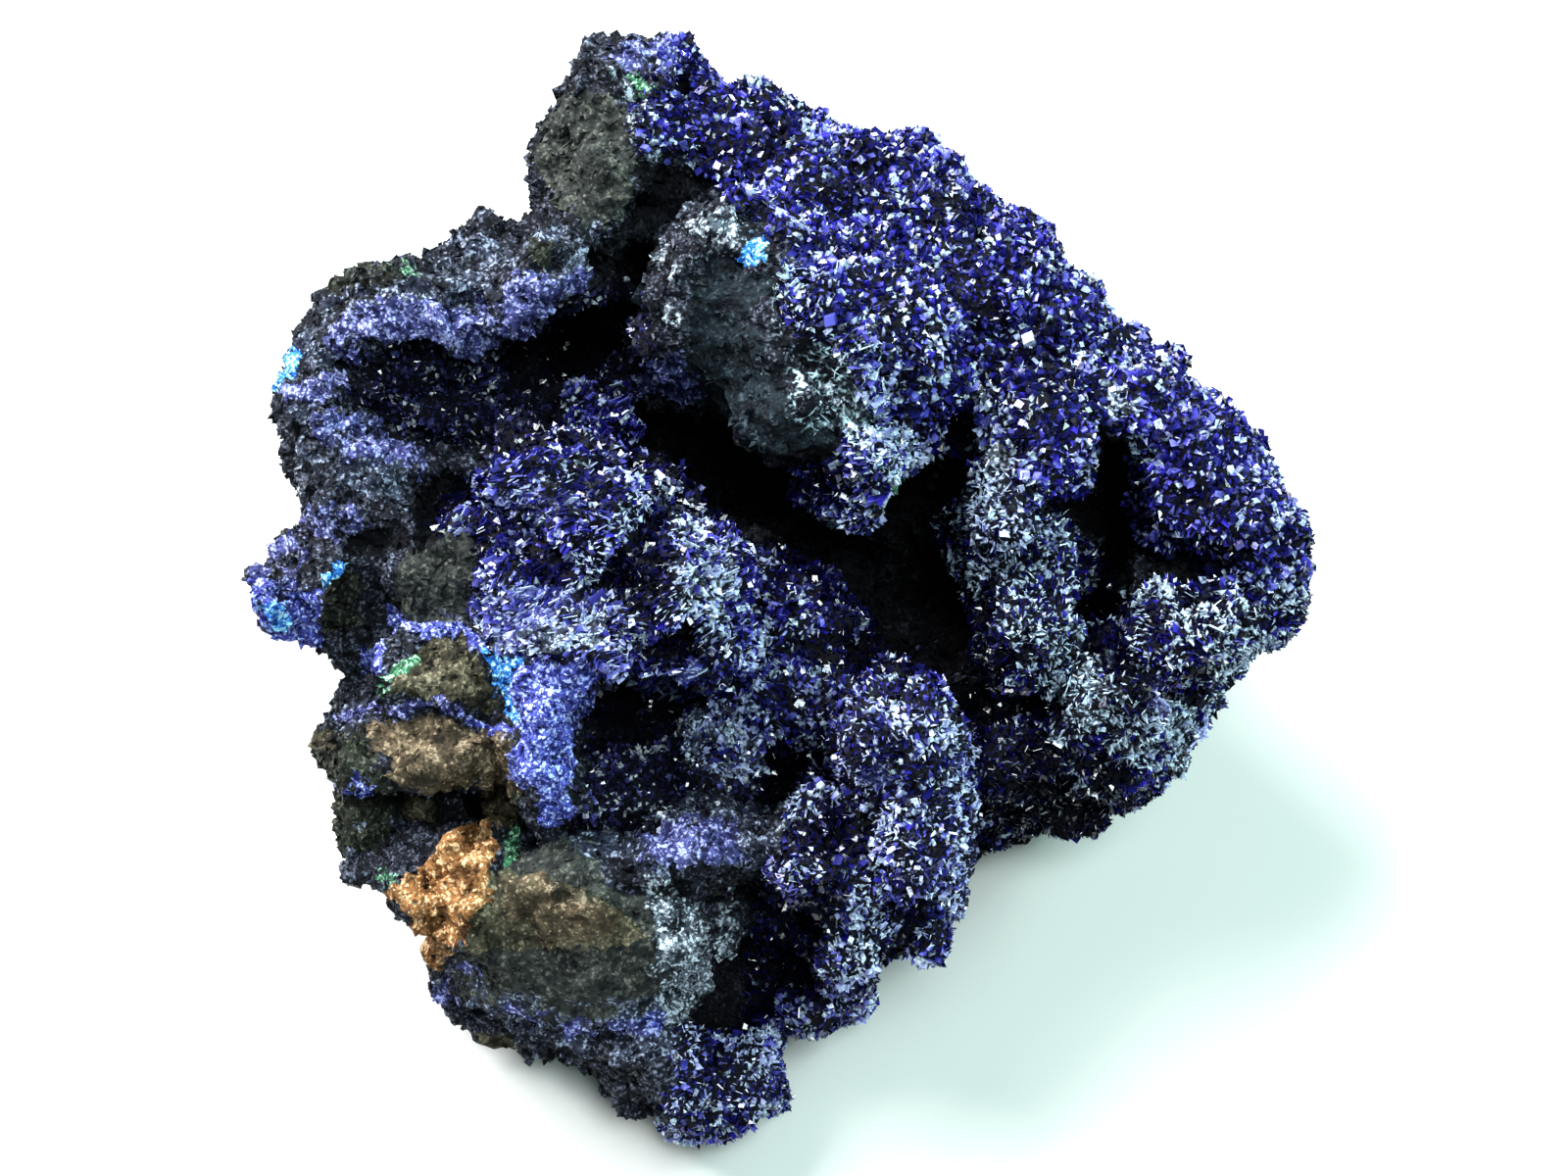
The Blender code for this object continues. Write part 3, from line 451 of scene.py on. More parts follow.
        ("left_face", (-43, 6, -40.5, 8, -38, 7.5, -36.5, 6.2, -38, 4.6, -41, 4.3), 1, 0.4),
        ("knob_face", (-47.2, 2, -46, 3.4, -43, 4, -40.8, 3.6, -42, 1.6, -45, 1.2), 0.6, 0.3),
        ("ridge_left", (-30, 5.6, -27, 7.4, -24, 9, -20, 8.4, -20, 5.6, -24, 5.8, -27, 5.8), 0.85, 0.2),
        ("ridge_band", (-27, -1, -24, 0.6, -20, 0.2, -17, -1.5, -17, -3.2, -20, -3.8, -24, -5.6, -26.6, -4),
         0.95, 0.2),
        ("shelf", (-14, -8, -12, -6.5, -9, -5.8, -7, -6.5, -7, -8, -9, -8.5, -11, -8.8, -12.5, -9.5), 0.95,
         0.3),
        ("hem", (-26, -36.5, -20, -37.5, -14, -38, -10, -38, -12, -40, -18, -39.6, -24, -38.2), 0.8),
        ("apex_top", (-17, 46.6, -14, 49, -11, 48.6, -9.5, 47, -11, 45.4, -14, 46.2), 0.9),
        ("tail_violet", (-10.5, -43.6, -9, -43.8, -8.3, -46, -9.5, -47, -10.3, -46), 0.6),
        ("low_violet", (-29.5, -33, -27.5, -32.5, -26, -34, -27, -35.5, -29, -35.5), 0.55),
        ("vein_left", (-40.4, -11.6, -38, -10.9, -36, -10.1, -34, -10.3, -32.6, -9.7, -30.5, -9.6,
         -28.6, -10.6, -28.8, -11.4, -31, -10.7, -34, -11.3, -36, -11.2, -38, -12, -40.2, -12.5), 1, 0.3),
        ("sill_violet", (-12.5, -21.6, -8, -20.6, -4, -20.6, -3.6, -23.8, -7.5, -24.6, -12, -24.4), 0.9),
        ("front_violet", (7.4, -15.4, 9.4, -15.4, 9.8, -17.2, 7.8, -17.4)),
        ("front_violet_low", (4, -33.8, 6.6, -33.8, 7, -36, 4.4, -36.2), 0.7),
        ("tongue", (-13.5, 17.2, -11.8, 20.6, -9.6, 21.6, -8, 19.6, -6.8, 17.4, -8.8, 16.4, -11, 17.2),
         0.95, 0.5),
        ("low_end", (-32, -34.8, -30.6, -34.5, -28.6, -35.8, -30, -37.2, -32, -36.3), 0.9),
        ("column_blue", (17, 12, 20, 12, 23.8, 6, 24, 1, 20, -1, 16, 1, 17, 5), 0.5),
        ("right_tip_violet", (36, -11.6, 37.8, -12, 37.4, -14.8, 36, -15, 35.2, -13.4)),
        ("right_low_violet", (31, -6.2, 33.2, -6.8, 33.8, -8.6, 33.4, -11.2, 32, -11, 31.4, -8.6), 0.9),
        ("ridge_violet", (-24, 8.8, -20, 12.6, -15, 12.2, -13, 10.2, -15.6, 8.6, -18, 6, -22, 5.6), 0.6),
        ("front_right_violet", (3.4, -9.4, 8, -8.8, 13, -10.4, 16.4, -13, 17.4, -20, 17, -30, 13, -31,
         10.6, -24, 8, -17.6, 4, -17), 0.55),
        ("knob_upper", (-47.6, 1.8, -46, 5, -42.6, 5.4, -41.4, 3.2, -43.6, 2.2), 0.5, 0.2),
        ("knob_tip", (-47.6, 2.6, -45, 4.6, -42, 4.2, -44, 2, -47, 0.4), 0.7, 0.3),
    ),
    *zones(
        Stain.COBALT,
        ("band", (-24, -9, -22.5, -6.5, -20, -6, -17, -5.5, -15.5, -4.5, -15, -5.6, -17, -8.5, -17.8, -11,
         -18.8, -13, -19, -16, -19.2, -19.5, -20, -21, -21.5, -20.5, -22, -18, -24, -16.5, -23.5, -13), 1,
         0.3),
        ("knob_cobalt", (-43.2, -1, -41, -1.5, -40.8, -3, -42.5, -3.3), 0.9),
        ("knob_blue", (-47.2, 0.8, -44, 1.4, -41.4, 0, -40.8, -3, -43, -4.4, -46, -4, -47.2, -1), 0.75),
        ("waist_cobalt", (-37.6, -5, -36, -4.5, -35.3, -5.5, -36, -7.5, -38, -8, -37.8, -6), 0.8),
        ("cheek_blue", (-39, -17.5, -38, -16, -36.5, -16.5, -36.5, -18.5, -38, -19), 0.75),
        ("hem_violet", (-12.2, -37.8, -10.8, -37.6, -10.8, -39.5, -12.2, -39.2)),
        ("facet_line", (-35.2, -1.3, -34.2, -1.3, -33.4, -2.8, -31, -3.4, -28.5, -3.2, -26.5, -4.8,
         -25.2, -6, -26.5, -5.8, -28.5, -4.4, -31, -4.3, -33.8, -4, -35, -3.4), 0.85, 0.3),
        ("vein_right", (-28.8, -10.5, -27, -11.6, -25.5, -12.2, -24.2, -11.9, -24.2, -12.9, -25.6, -13.2,
         -27.2, -12.5, -28.9, -11.5), 0.85, 0.3),
        ("right_blue", (31.5, 20.5, 34, 18.5, 37, 15.5, 41, 12, 46, 10, 46, 7.4, 41, 8.4, 36, 10.6,
         33, 13.6, 31, 17), 0.5),
        ("knob_lower", (-47.2, -1.6, -44.6, -1.4, -41, -2.4, -41, -5, -44.6, -5.2), 0.7, 0.2),
    ),
    *zones(
        Stain.SKY,
        ("middle_spot", (-4, 30, -3, 30.8, -1.2, 30.5, -2, 28.8, -3.5, 28.3), 0.9),
        ("wing_sky", (-44.2, 21.4, -42.8, 21.2, -43, 19.5, -43.8, 18.3, -45.6, 17.2, -45.2, 18.8)),
        ("knob_sky", (-41.4, 0.6, -40.1, 2.2, -38.9, 2.3, -39.8, 0.8, -41, 0.3), 1, 0.2),
        ("knob_low_sky", (-46.2, -1.4, -44.5, -1.3, -43.8, -2.5, -44, -3.6, -45.4, -3.9), 0.9),
        ("elbow", (-27, -4.8, -25.5, -5.8, -23.8, -6.2, -22.4, -5.8, -23.4, -8, -23.8, -10, -23.8, -12,
         -24.8, -11.4, -25.2, -9, -25.9, -7), 1, 0.2),
    ),
    *zones(
        Stain.GREEN,
        ("streak", (-36.2, -9.3, -35, -7.9, -33.5, -6.4, -32.2, -5.3, -32.4, -6.9, -33.5, -8, -35, -8.9),
         0.95),
        ("foot", (-24.4, -21.3, -23.4, -20.8, -23.4, -23, -24.4, -24.9, -25.3, -25.2, -24.9, -23), 0.95),
        ("corner", (46, 5.4, 47.4, 6.6, 49, 5, 48, 3.8, 46.4, 4), 0.6),
        ("apex_green", (-14.2, 45.6, -12.5, 45.3, -11.8, 43.6, -13.5, 44), 0.65),
        ("wing_green", (-36, 28.4, -34, 29.2, -32.3, 28.6, -31.6, 26.6, -34, 27.2), 0.45),
        ("chin_green", (8.2, 9.6, 10, 10.4, 12.2, 11.4, 12, 10.8, 10, 9.6), 0.8),
        ("under_green", (-36, -25.2, -33.6, -25.2, -33.8, -26.4, -36, -26.4), 0.5),
    ),
    *zones(
        Stain.SWIRL,
        ("middle_swirls_above", (-1.5, 27.8, 0.5, 28.8, 2.5, 27.5, 2, 25.5, -1, 24.5), 0.9),
        ("middle_swirls", (0.6, 19.4, 2.6, 23, 6.4, 23, 9, 20, 10, 16, 12.5, 13, 10, 10, 6, 12, 2, 13.6,
         0.2, 16.4), 0.9),
    ),
    # These zones take the painted shade of the SHADE zones away; some push the surface out.
    *zones(
        Stain.GLEAM,
        ("pit_lobe_lit", (-9.5, -11, -7.5, -10, -4, -10.2, -2, -12, -1.5, -15, -3, -17, -6, -16.6,
         -8.6, -14.5), 0.9),
        ("front_left_lit", (-6.2, -28.5, -4.6, -26.4, -3.4, -28, -3.6, -31, -5.4, -33, -7, -31.6), 0.9),
        ("tongue_lit", (-14.5, 16, -12.4, 21, -9.6, 22.2, -7.6, 20, -6.4, 17, -8.8, 16, -11, 16.6)),
        ("vug_knob", (-38.6, 17.6, -36, 20.6, -30, 21.6, -26.5, 21, -24, 18.4, -21.6, 17, -21.6, 13,
         -28, 12.4, -31, 14.2, -36, 16.6), 0.95, 1.8, 1),
        ("wing_bright_lit", (-32, 24.6, -31, 21.6, -26, 21.4, -22.4, 23.6, -21, 26, -26, 26)),
        ("pit_knobs_lit", (-18.5, -14.8, -12, -15.4, -9.5, -17, -11, -21, -18.5, -20.5), 1, 0.8),
    ),
    # Painted shade: these zones darken hollows, gaps and dim places towards near black, in the rock and its
    # crystals; their pushes move the surface in or out.
    *zones(
        Stain.SHADE,
        ("chasm", (-14, 17, -8, 16, -3, 10.5, 1, 12, 4, 11, 0.4, 9.4, 0, 7, 5, 4.6, 8, 4.8, 8.6, 9,
         12, 11.4, 17, 12, 14, 9, 13, 4, 16, 2, 17, -2, 15, -6, 13, -7.5, 8, -4, 6, 0, 2, 3.5, -3, 3.6,
         -5, 7, -8, 9.8, -12, 12.5, -13, 15), 0.9, -0.4),
        ("apex_valley", (-13, 37.5, -9, 37.5, -5.6, 35.8, -9, 34, -11.6, 31, -12, 27, -17, 27.3, -17.8, 30,
         -14.2, 33, -13, 35), 0.85, -0.8, 0.8),
        ("apex_pit", (-10.8, 45, -9.5, 46.2, -7.8, 45.5, -7.8, 43.3, -9, 42.7, -10.5, 43.5), 0.9, -1.6,
         0.6),
        ("slope_pit", (4.8, 38, 6, 38.6, 8.6, 37.4, 8, 36.2, 6, 36.8), 0.8, -1.2, 0.8),
        ("slope_pit_left", (-3, 39, -1, 40.6, 0.4, 40, -1, 38.6), 0.7, -1, 0.8),
        ("slope_hole", (13.5, 14, 14.6, 16, 17.2, 15.8, 17.2, 13.4, 15.4, 12), 0.9, -1.6, 0.8),
        ("slope_fold", (9.8, 32.2, 12, 31.6, 13.4, 28.6, 15.6, 27, 13, 27.4, 11.4, 30), 0.3, -1.2, 1),
        ("right_overhang", (32, 4.4, 35, 4.2, 39, 3, 39.6, 0.2, 36, -0.2, 32, 0.4), 0.8, -1.4),
        ("right_gap", (24, -0.6, 27, -0.2, 30.4, -0.6, 29.6, -2.8, 26.6, -3.6, 24.8, -2.4), 0.9, -1.6, 0.8),
        ("shelf_gap", (-17, -8.2, -14, -6, -12.2, -4.8, -12.4, -6.4, -15, -8.4), 0.9, -1.2, 0.6),
        ("cheek_pit", (-40.4, -13.4, -39.2, -13.1, -38.8, -14.4, -40.2, -15.1), 0.9, -1.2, 0.5),
        ("left_cleft", (-33, 3, -31.2, 4, -29.6, 6, -27, 6.8, -25.6, 8, -28, 9.3, -31, 10.4, -32.8, 9.2,
         -32.6, 6), 0.7, -1.5, 0.6),
        ("knob_gap", (-39, 4.2, -36.6, 5, -33.4, 5.6, -33.4, 3.6, -37, 3, -38.8, 3.4), 0.7, -1, 0.6),
        ("knob_round", (-45.6, 1, -43, 1.3, -42.4, -0.6, -43.6, -1.2, -45.8, -1), 0.45, -0.4, 0.8),
        ("front_shadow", (-6, -27, -3, -25.2, 0, -24.7, 3, -26, 3.6, -28, 3.8, -32, 3, -36, 0, -36, -1, -39,
         -3, -40, -8, -39, -7, -35, -5.6, -32), 0.75, -0.6, 1),
        ("tail_notch", (-16, -24.6, -13, -24.4, -12, -25.2, -13.6, -25.6), 0.9, -1, 0.5),
        ("vug", (-39, 17, -37, 20.2, -33, 21.3, -29, 20.8, -26, 21.2, -23, 22.9, -20, 25, -15, 26.6,
         -12.6, 25, -13.2, 21, -15, 18.8, -19.6, 17, -20.4, 13.4, -21.4, 12.2, -24, 11.6, -28, 12.3,
         -31, 13.6, -34, 15, -37, 16.8), 0.9, -1, 0.6),
        ("vug_throat", (-25.5, 21.2, -22, 23.4, -19.5, 25, -15, 26.4, -13.5, 22, -16, 18.6, -20, 17.6,
         -23.8, 19), 1, -1.4, 0.8),
        ("channel_lobes", (-1.4, 4.4, 5, 4.6, 9, 1, 10.4, -4, 6, -5, 3, -2, 0, 0.5), 0.75, -1, 1),
        ("channel_low", (-2, -4.5, 3, -4.6, 6, -6.4, 5, -10, 2, -12, -1.6, -10), 0.45, -0.2),
        ("front_hollow", (-2.4, -14, -0.5, -12.4, 2.2, -13.6, 2.6, -16.6, 0, -19, -3, -18.4, -2, -16), 0.95,
         -2, 0.8),
        ("front_wedge", (11.6, -26.4, 13, -28, 12, -31, 10.5, -34.4, 8, -37, 7, -35, 9.4, -31), 0.95, -2,
         0.8),
        ("front_inner", (2.6, -21.6, 5.2, -20.8, 6.6, -22.6, 6, -25.4, 4, -29, 2.8, -32, 0.4, -30, 2, -26.6,
         3.6, -24), 0.6, -1, 0.8),
        ("heel", (17, -17, 24, -16.8, 30, -17.2, 36, -19, 37, -23, 28, -26, 17, -26), 0.6, -0.8, 1.2),
        ("slope_dark", (20, 24, 22.6, 24.6, 24.6, 20, 24, 15, 21.5, 12, 20, 15), 0.25, -0.6),
        ("ridge_hollow", (-12.4, -5, -11.2, -2.8, -8.4, -2.4, -7.2, -4.2, -7.3, -6.4, -9, -6, -11, -6.4), 1,
         -2.8, 0.7),
        ("ridge_crevice", (-14.6, 4.4, -12, 6.6, -9.4, 8.3, -8.9, 7, -11, 4.8, -13.6, 3.4), 0.95, -2, 0.6),
        ("ridge_dark", (-15, 3.6, -11.5, 4.6, -10.2, 3.4, -10.4, 0.6, -12, -1.6, -14, -1.8, -16.4, 0.2,
         -17, 2), 0.65, -1.4, 0.8),
        ("ridge_dark_high", (-19, 10.6, -16, 11.6, -12.6, 10.4, -13.6, 9.4, -17, 9.6), 0.6, -1, 0.8),
        ("ridge_dark_left", (-24, 2.6, -21, 4.6, -18.4, 3.6, -19.6, 1.8, -22.6, 1.4), 0.6, -1.2, 0.8),
        ("ridge_gap_left", (-26, 6.4, -22.6, 6.8, -20, 5.4, -22, 4.8, -25.6, 5.2), 0.5, -1, 0.8),
        ("low_dark", (17, -12, 24, -12.4, 28, -14.6, 31, -17, 24, -17.6, 17, -17.6), 0.65, -0.6),
        ("lobe_gap", (24.6, -4, 28, -4.6, 31, -6, 32.6, -8.6, 30, -8, 27, -6.2), 0.7, -1.2, 0.8),
        ("lobe_gap_low", (33, -9, 36, -8, 38.6, -8.6, 36, -9.8, 33.6, -10.2), 0.7, -1, 0.7),
        ("right_vug", (27.5, 14, 28, 11, 26, 9, 23.6, 8, 23.6, 7, 26, 5.6, 27.8, 4.6, 28, 1.6, 26.6, -0.4,
         24.6, -2, 27, -3.4, 29.4, -2.6, 30.4, 1, 30.8, 5, 30.9, 8, 30.8, 12.6), 1, -1),
        ("right_wall", (30.8, 13, 32.4, 13.6, 35, 10, 34.6, 5, 31.6, 4, 31.2, 8), 0.15, 0.4),
        ("right_inner", (34, 11, 38, 9.6, 42.8, 7.6, 43.4, 2.6, 39.4, 3.4, 34.6, 4.8), 0.22, -0.2),
        ("column_low_dark", (15.2, -0.4, 18.8, -1, 20, -4.5, 20.4, -7.8, 15, -8.2, 14, -5), 0.62, -0.8),
        ("right_valley", (13.4, -9.8, 14.2, -7.8, 22.6, -8.2, 23.2, -11, 20.6, -12.2, 17.6, -12.6,
         15.4, -11.4), 1, -1.6),
        ("front_crown", (3.6, -4.4, 9, -3.6, 14.2, -5.6, 16, -9, 14.4, -10, 12.6, -8.6, 8, -8.2, 5, -8),
         0.95, -2, 1),
        ("chin_right", (8.2, 9, 10, 9.8, 13, 11, 17, 12, 16, 8, 11, 4, 8, 4.6), 1, -2.6, 0.8),
        ("chin_dark", (-0.6, 11.2, 3.6, 12.6, 6, 11.4, 7.4, 10, 4, 9.2, 0.6, 9), 0.6, -0.8),
        ("pit_black", (-17, -8.6, -10, -9, -9.6, -12, -10.4, -14.8, -14, -16, -18, -15), 1, -0.6),
        ("ridge_edge", (-16, 14.6, -12.4, 12.6, -10.4, 10.6, -7, 9.6, -5.4, 7, -3.4, 5, -4.6, 4, -6.8, 6,
         -8.4, 8.2, -11.4, 9, -13.6, 11, -16.4, 13), 0.55, -1.8),
        ("tail_dark", (-8, -41, 2, -44, 2, -52, -6, -53, -9, -46), 0.35),
        ("front_olive", (-0.8, -22.6, 0.4, -20.8, 3.4, -20.4, 3.6, -24, 0, -24.6), 0.55, -0.8, 0.8),
        ("front_olive_right", (3.8, -19.8, 6, -19.4, 8.2, -20.6, 8, -23, 5.6, -23.8, 3.8, -23), 0.75, -1.6,
         0.8),
        ("front_base", (-1.4, -36.6, 2, -35.8, 4.4, -37.6, 8.2, -36.6, 9, -38.6, 5, -41, 0, -42), 0.55,
         -0.4, 0.8),
        ("front_base_right", (7.8, -33, 11.4, -31.4, 12.4, -33.4, 9, -37.4, 7.8, -36), 0.85, -1, 0.8),
        ("front_left_dim", (2, -26.6, 5, -26.4, 4.6, -30, 3.8, -33, 4, -36.6, 1.6, -36, 1, -31), 0.7, -0.8,
         0.8),
        ("slot", (-35, -18.4, -31, -17.9, -26.8, -17.9, -26.9, -20.5, -30, -21, -34.4, -20.8), 1, -2.6,
         0.6),
        ("ridge_shade_left", (-28, 5, -24, 5.2, -20.6, 4, -19, 2.8, -20.4, 1.4, -23, 2.2, -26.6, 2.4), 0.45,
         -0.6, 0.8),
        ("ridge_shade_high", (-20, 9.4, -17, 10, -15, 8.6, -16.4, 7.2, -19.4, 7.6), 0.55, -1, 0.8),
        ("ridge_shade_mid", (-17.6, 0.6, -15.6, 2.6, -11.6, 3.2, -10.6, 0.6, -12.6, -1.6, -15.4, -1.2), 0.6,
         -0.8, 0.8),
        ("edge_hole", (-11, -26.4, -9.6, -25.4, -8.6, -26.2, -8.8, -27.6, -10.6, -27.8), 0.9, -1.4, 0.5),
    ),
    *zones(
        Stain.TRIM,
        ("trim_upper_right", (14, 42, 20, 46, 34, 38, 36, 28, 30, 23, 23, 30, 17, 34), 1, -2.4, 4),
        ("trim_right", (36, 24, 46, 24, 52, 12, 45, 7, 39, 12, 35, 17), 1, -1.6, 4),
        ("trim_wing", (-36, 30, -36, 38, -27, 40, -23, 38, -22, 31, -27, 29), 1, -2, 4),
        ("trim_left", (-46, 26, -54, 18, -52, 8, -44, 6, -42, 12, -42, 18), 1, -1.8, 4),
        ("trim_knob", (-54, 6, -54, -6, -46, -7, -43.6, -3, -44, 4), 1, -0.6, 3),
        ("trim_cheek", (-41, -16, -48, -27, -38, -38, -31, -32.4, -33, -27, -37, -22), 1, -1.8, 4),
        ("trim_heel", (15, -16, 14, -33, 24, -33, 36, -27, 32, -18.4, 25, -18.4), 1, -1.1, 4),
        ("trim_tail", (-4, -40, -3, -56, 10, -52, 12, -40, 8, -36, 3, -38.4), 1, -1.8, 4),
        ("trim_apex", (-19, 46, -29, 46, -29, 34, -21, 32, -19, 36, -18.6, 40), 1, -1.4, 4),
        ("trim_top", (-8, 43, -7, 54, 8, 50, 6.6, 40.4, 0, 40.4), 1, -2, 4),
        ("trim_knob_tip", (-54, 3.4, -54, -3.4, -47.2, -3, -46.4, 0, -47.2, 3), 1, -0.8, 1.5),
    ),
)


class Habit(Enum):
    """The shape of a crystal."""

    BLOCK = "block"
    WEDGE = "wedge"
    BLADE = "blade"
    CHIP = "chip"
    SHARD = "shard"


# How broad and how thick a crystal of each habit is, as shares of its width.
HABIT_SIZES: dict[Habit, tuple[float, float]] = {
    Habit.BLOCK: (1.0, 0.75),
    Habit.WEDGE: (1.1, 0.9),
    Habit.BLADE: (1.2, 0.34),
    Habit.CHIP: (1.0, 0.85),
    Habit.SHARD: (1.15, 0.75),
}


@dataclass(frozen=True)
class CrystalMix:
    """How the crystals of a crust are shaped, sized, leant, laid side by side and coloured.

    Sizes and spacing are in millimetres. A comb of 1 lays the crystals along one flow, which `way` turns.
    """

    shares: tuple[tuple[Habit, float], ...]
    width: tuple[float, float]
    height: tuple[float, float]
    lean: float
    spacing: float
    tone: tuple[float, float]
    pale_share: float
    large_share: float
    comb: float = 0.2
    stretch: float = 1.2
    violet: float = 0.0
    way: tuple[float, float, float] = (0.0, 0.0, 0.0)


SLOPE_MIX = CrystalMix(
    shares=((Habit.BLOCK, 0.20), (Habit.WEDGE, 0.15), (Habit.SHARD, 0.65)),
    width=(0.28, 0.66), height=(0.15, 0.60), lean=0.80, spacing=0.45,
    tone=(0.05, 1.0), pale_share=0.11, large_share=0.03, violet=0.75,
)
LOBE_MIX = CrystalMix(
    shares=((Habit.SHARD, 0.75), (Habit.BLADE, 0.25)),
    width=(0.26, 0.56), height=(0.15, 0.65), lean=0.75, spacing=0.40,
    tone=(0.0, 0.90), pale_share=0.28, large_share=0.02, comb=0.65, stretch=1.6, violet=0.1,
)
NEEDLE_MIX = CrystalMix(
    shares=((Habit.SHARD, 0.70), (Habit.BLADE, 0.30)),
    width=(0.24, 0.52), height=(0.15, 0.60), lean=0.62, spacing=0.39,
    tone=(0.02, 0.88), pale_share=0.13, large_share=0.02, comb=0.85, stretch=2.2, violet=0.9,
    way=(0.9, 0.5, 0.0),
)
FRONT_MIX = CrystalMix(
    shares=((Habit.BLOCK, 0.12), (Habit.SHARD, 0.72), (Habit.BLADE, 0.16)),
    width=(0.25, 0.55), height=(0.15, 0.60), lean=0.80, spacing=0.42,
    tone=(0.12, 1.0), pale_share=0.40, large_share=0.02, comb=0.35, stretch=1.4, violet=0.9,
)
DARK_MIX = CrystalMix(
    shares=((Habit.BLOCK, 0.2), (Habit.WEDGE, 0.2), (Habit.SHARD, 0.6)),
    width=(0.26, 0.54), height=(0.15, 0.50), lean=0.7, spacing=0.47,
    tone=(0.1, 1.0), pale_share=0.11, large_share=0.04, stretch=1.0,
)
GRIT_MIX = CrystalMix(
    shares=((Habit.CHIP, 0.8), (Habit.WEDGE, 0.2)),
    width=(0.45, 1.10), height=(0.05, 0.28), lean=0.55, spacing=0.74,
    tone=(0.0, 1.0), pale_share=0.0, large_share=0.05,
)


@dataclass(frozen=True)
class CrustArea:
    """An area of crystals: its node, its outline in u and v, its mix, the least w of it and its slot.

    Stained crystals take the stains of the rock below them.
    """

    name: str
    node: str
    outline: Outline
    mix: CrystalMix
    seed: int
    least_w: float = -27.0
    slot: str = "azurite"
    stained: bool = False


GRIT: tuple[CrustArea, ...] = (
    CrustArea(
        "grit_upper", "host_rock", (-60, 7, -60, 60, 60, 60, 60, 7),
        GRIT_MIX, seed=51, slot="host_rock", stained=True,
    ),
    CrustArea(
        "grit_lower", "host_rock", (-60, 7, 60, 7, 60, -60, -60, -60),
        GRIT_MIX, seed=52, slot="host_rock", stained=True,
    ),
)

AREAS: tuple[CrustArea, ...] = (
    CrustArea(
        "slope_upper_crystals", "azurite_crust_slope",
        (-11, 46.5, -12, 58, 20, 54, 29, 38, 22, 24, 17, 16, 13.8, 12, 12, 13, 9, 15.5, 8.2, 17.5,
         7.4, 20.5, 4, 23, 2.5, 25.5, 2, 28, 0, 30, -3, 32.6, -5, 34.6, -5.6, 36.6, -9.5, 38, -13, 38.5,
         -13.2, 42),
        SLOPE_MIX, seed=31,
    ),
    CrustArea(
        "slope_lower_crystals", "azurite_crust_slope",
        (29, 38, 60, 20, 60, 2, 48, 0.5, 44.2, -1, 38.3, 0.6, 32, 3.6, 30.6, 13.9, 27.5, 14.5, 26.5, 9,
         21.9, 8.4, 20, 12.5, 17, 12.5, 13.8, 12, 17, 16, 22, 24),
        SLOPE_MIX, seed=32,
    ),
    CrustArea(
        "right_lobe_crystals", "azurite_crust_slope",
        (13.5, 9.9, 17, 11.5, 21, 10.6, 23.4, 7.4, 28.8, 3, 30.5, -1, 34.1, 0.5, 38.3, 0.6, 44.2, 0,
         48, 0.5, 54, 0, 54, -12, 44, -26, 29.8, -32, 18.4, -28.6, 17.2, -15.6, 15.7, -8.5, 17, -3.4,
         14.7, 1.8),
        LOBE_MIX, seed=33,
    ),
    CrustArea(
        "front_crystals", "azurite_crust_front",
        (-2.7, 3.6, 2.9, 3.8, 7.1, -1.8, 13.1, -7.4, 16.9, -12.1, 20, -26.9, 20, -38, 11.6, -42, 4.4, -44,
         0, -44.5, -3.5, -40, -2.6, -27, 0.2, -23, 0.5, -18.8, -3, -16.5, -9, -15, -8, -11.5, -6, -8.5,
         -3.9, -5.1, -3.4, -0.8),
        FRONT_MIX, seed=34, least_w=-22,
    ),
    CrustArea(
        "ridge_crystals", "azurite_crust_ridge",
        (-31, 5.4, -28, 9.8, -24, 11.2, -20, 13.5, -18, 16.5, -14.3, 17.5, -12.8, 12.5, -8, 10, -3.5, 3.9,
         -3.6, -0.8, -4.2, -6.7, -7, -8.6, -10.1, -9.8, -14.9, -7.4, -19.7, -6, -24.4, -5.8, -27.2, -3,
         -27.2, 4.4),
        NEEDLE_MIX, seed=35, least_w=-16,
    ),
    CrustArea(
        "tail_crystals", "azurite_crust_tail",
        (-9.7, -38.8, -3.5, -39.9, 2, -42.4, 3, -56, -8.2, -56, -10.5, -45.4),
        FRONT_MIX, seed=36, least_w=-25,
    ),
    CrustArea(
        "left_vug_crystals", "left_vug_crust",
        (-39.5, 17, -37, 20.6, -33, 22.2, -26, 22.2, -20, 26.2, -14, 27.6, -10.5, 21.3, -13, 17, -18.4, 16,
         -20.5, 13.2, -24, 11.2, -28.1, 11.6, -34.9, 14.4),
        DARK_MIX, seed=37, least_w=-32, slot="azurite_in_shade",
    ),
    CrustArea(
        "pit_crystals", "pit_crust",
        (-16.6, -8.6, -9.2, -9.5, -8, -11.8, -9, -15, -3.5, -16.4, 0, -18, -5.1, -18.8, -9.3, -20.5,
         -12, -22, -18.9, -21, -18, -15.3),
        DARK_MIX, seed=38, least_w=-32, slot="azurite_in_shade",
    ),
    CrustArea(
        "belly_crystals", "host_rock",
        (0, 28.8, 2.2, 27.8, 3, 24, 7.6, 20.4, 8.4, 16.8, 12.6, 13, 12.2, 11, 8.6, 9, 8, 5, 5.4, 4.6,
         0, 7.4, 0.6, 9.4, 4, 10.5, 6, 13, 8, 15, 5, 21.6, 1.6, 21.4, 0, 24),
        NEEDLE_MIX, seed=39, least_w=-10, slot="host_rock",
    ),
)


def read(items: Any, name: str, kind: type) -> np.ndarray:
    """Reads one property of all of a mesh's items.

    Args:
        items: The vertices or the triangles.
        name: The property, which holds three numbers.
        kind: The numbers' type.

    Returns:
        Three numbers a row.
    """
    values = np.empty(len(items) * 3, kind)
    items.foreach_get(name, values)
    return values.reshape(-1, 3)


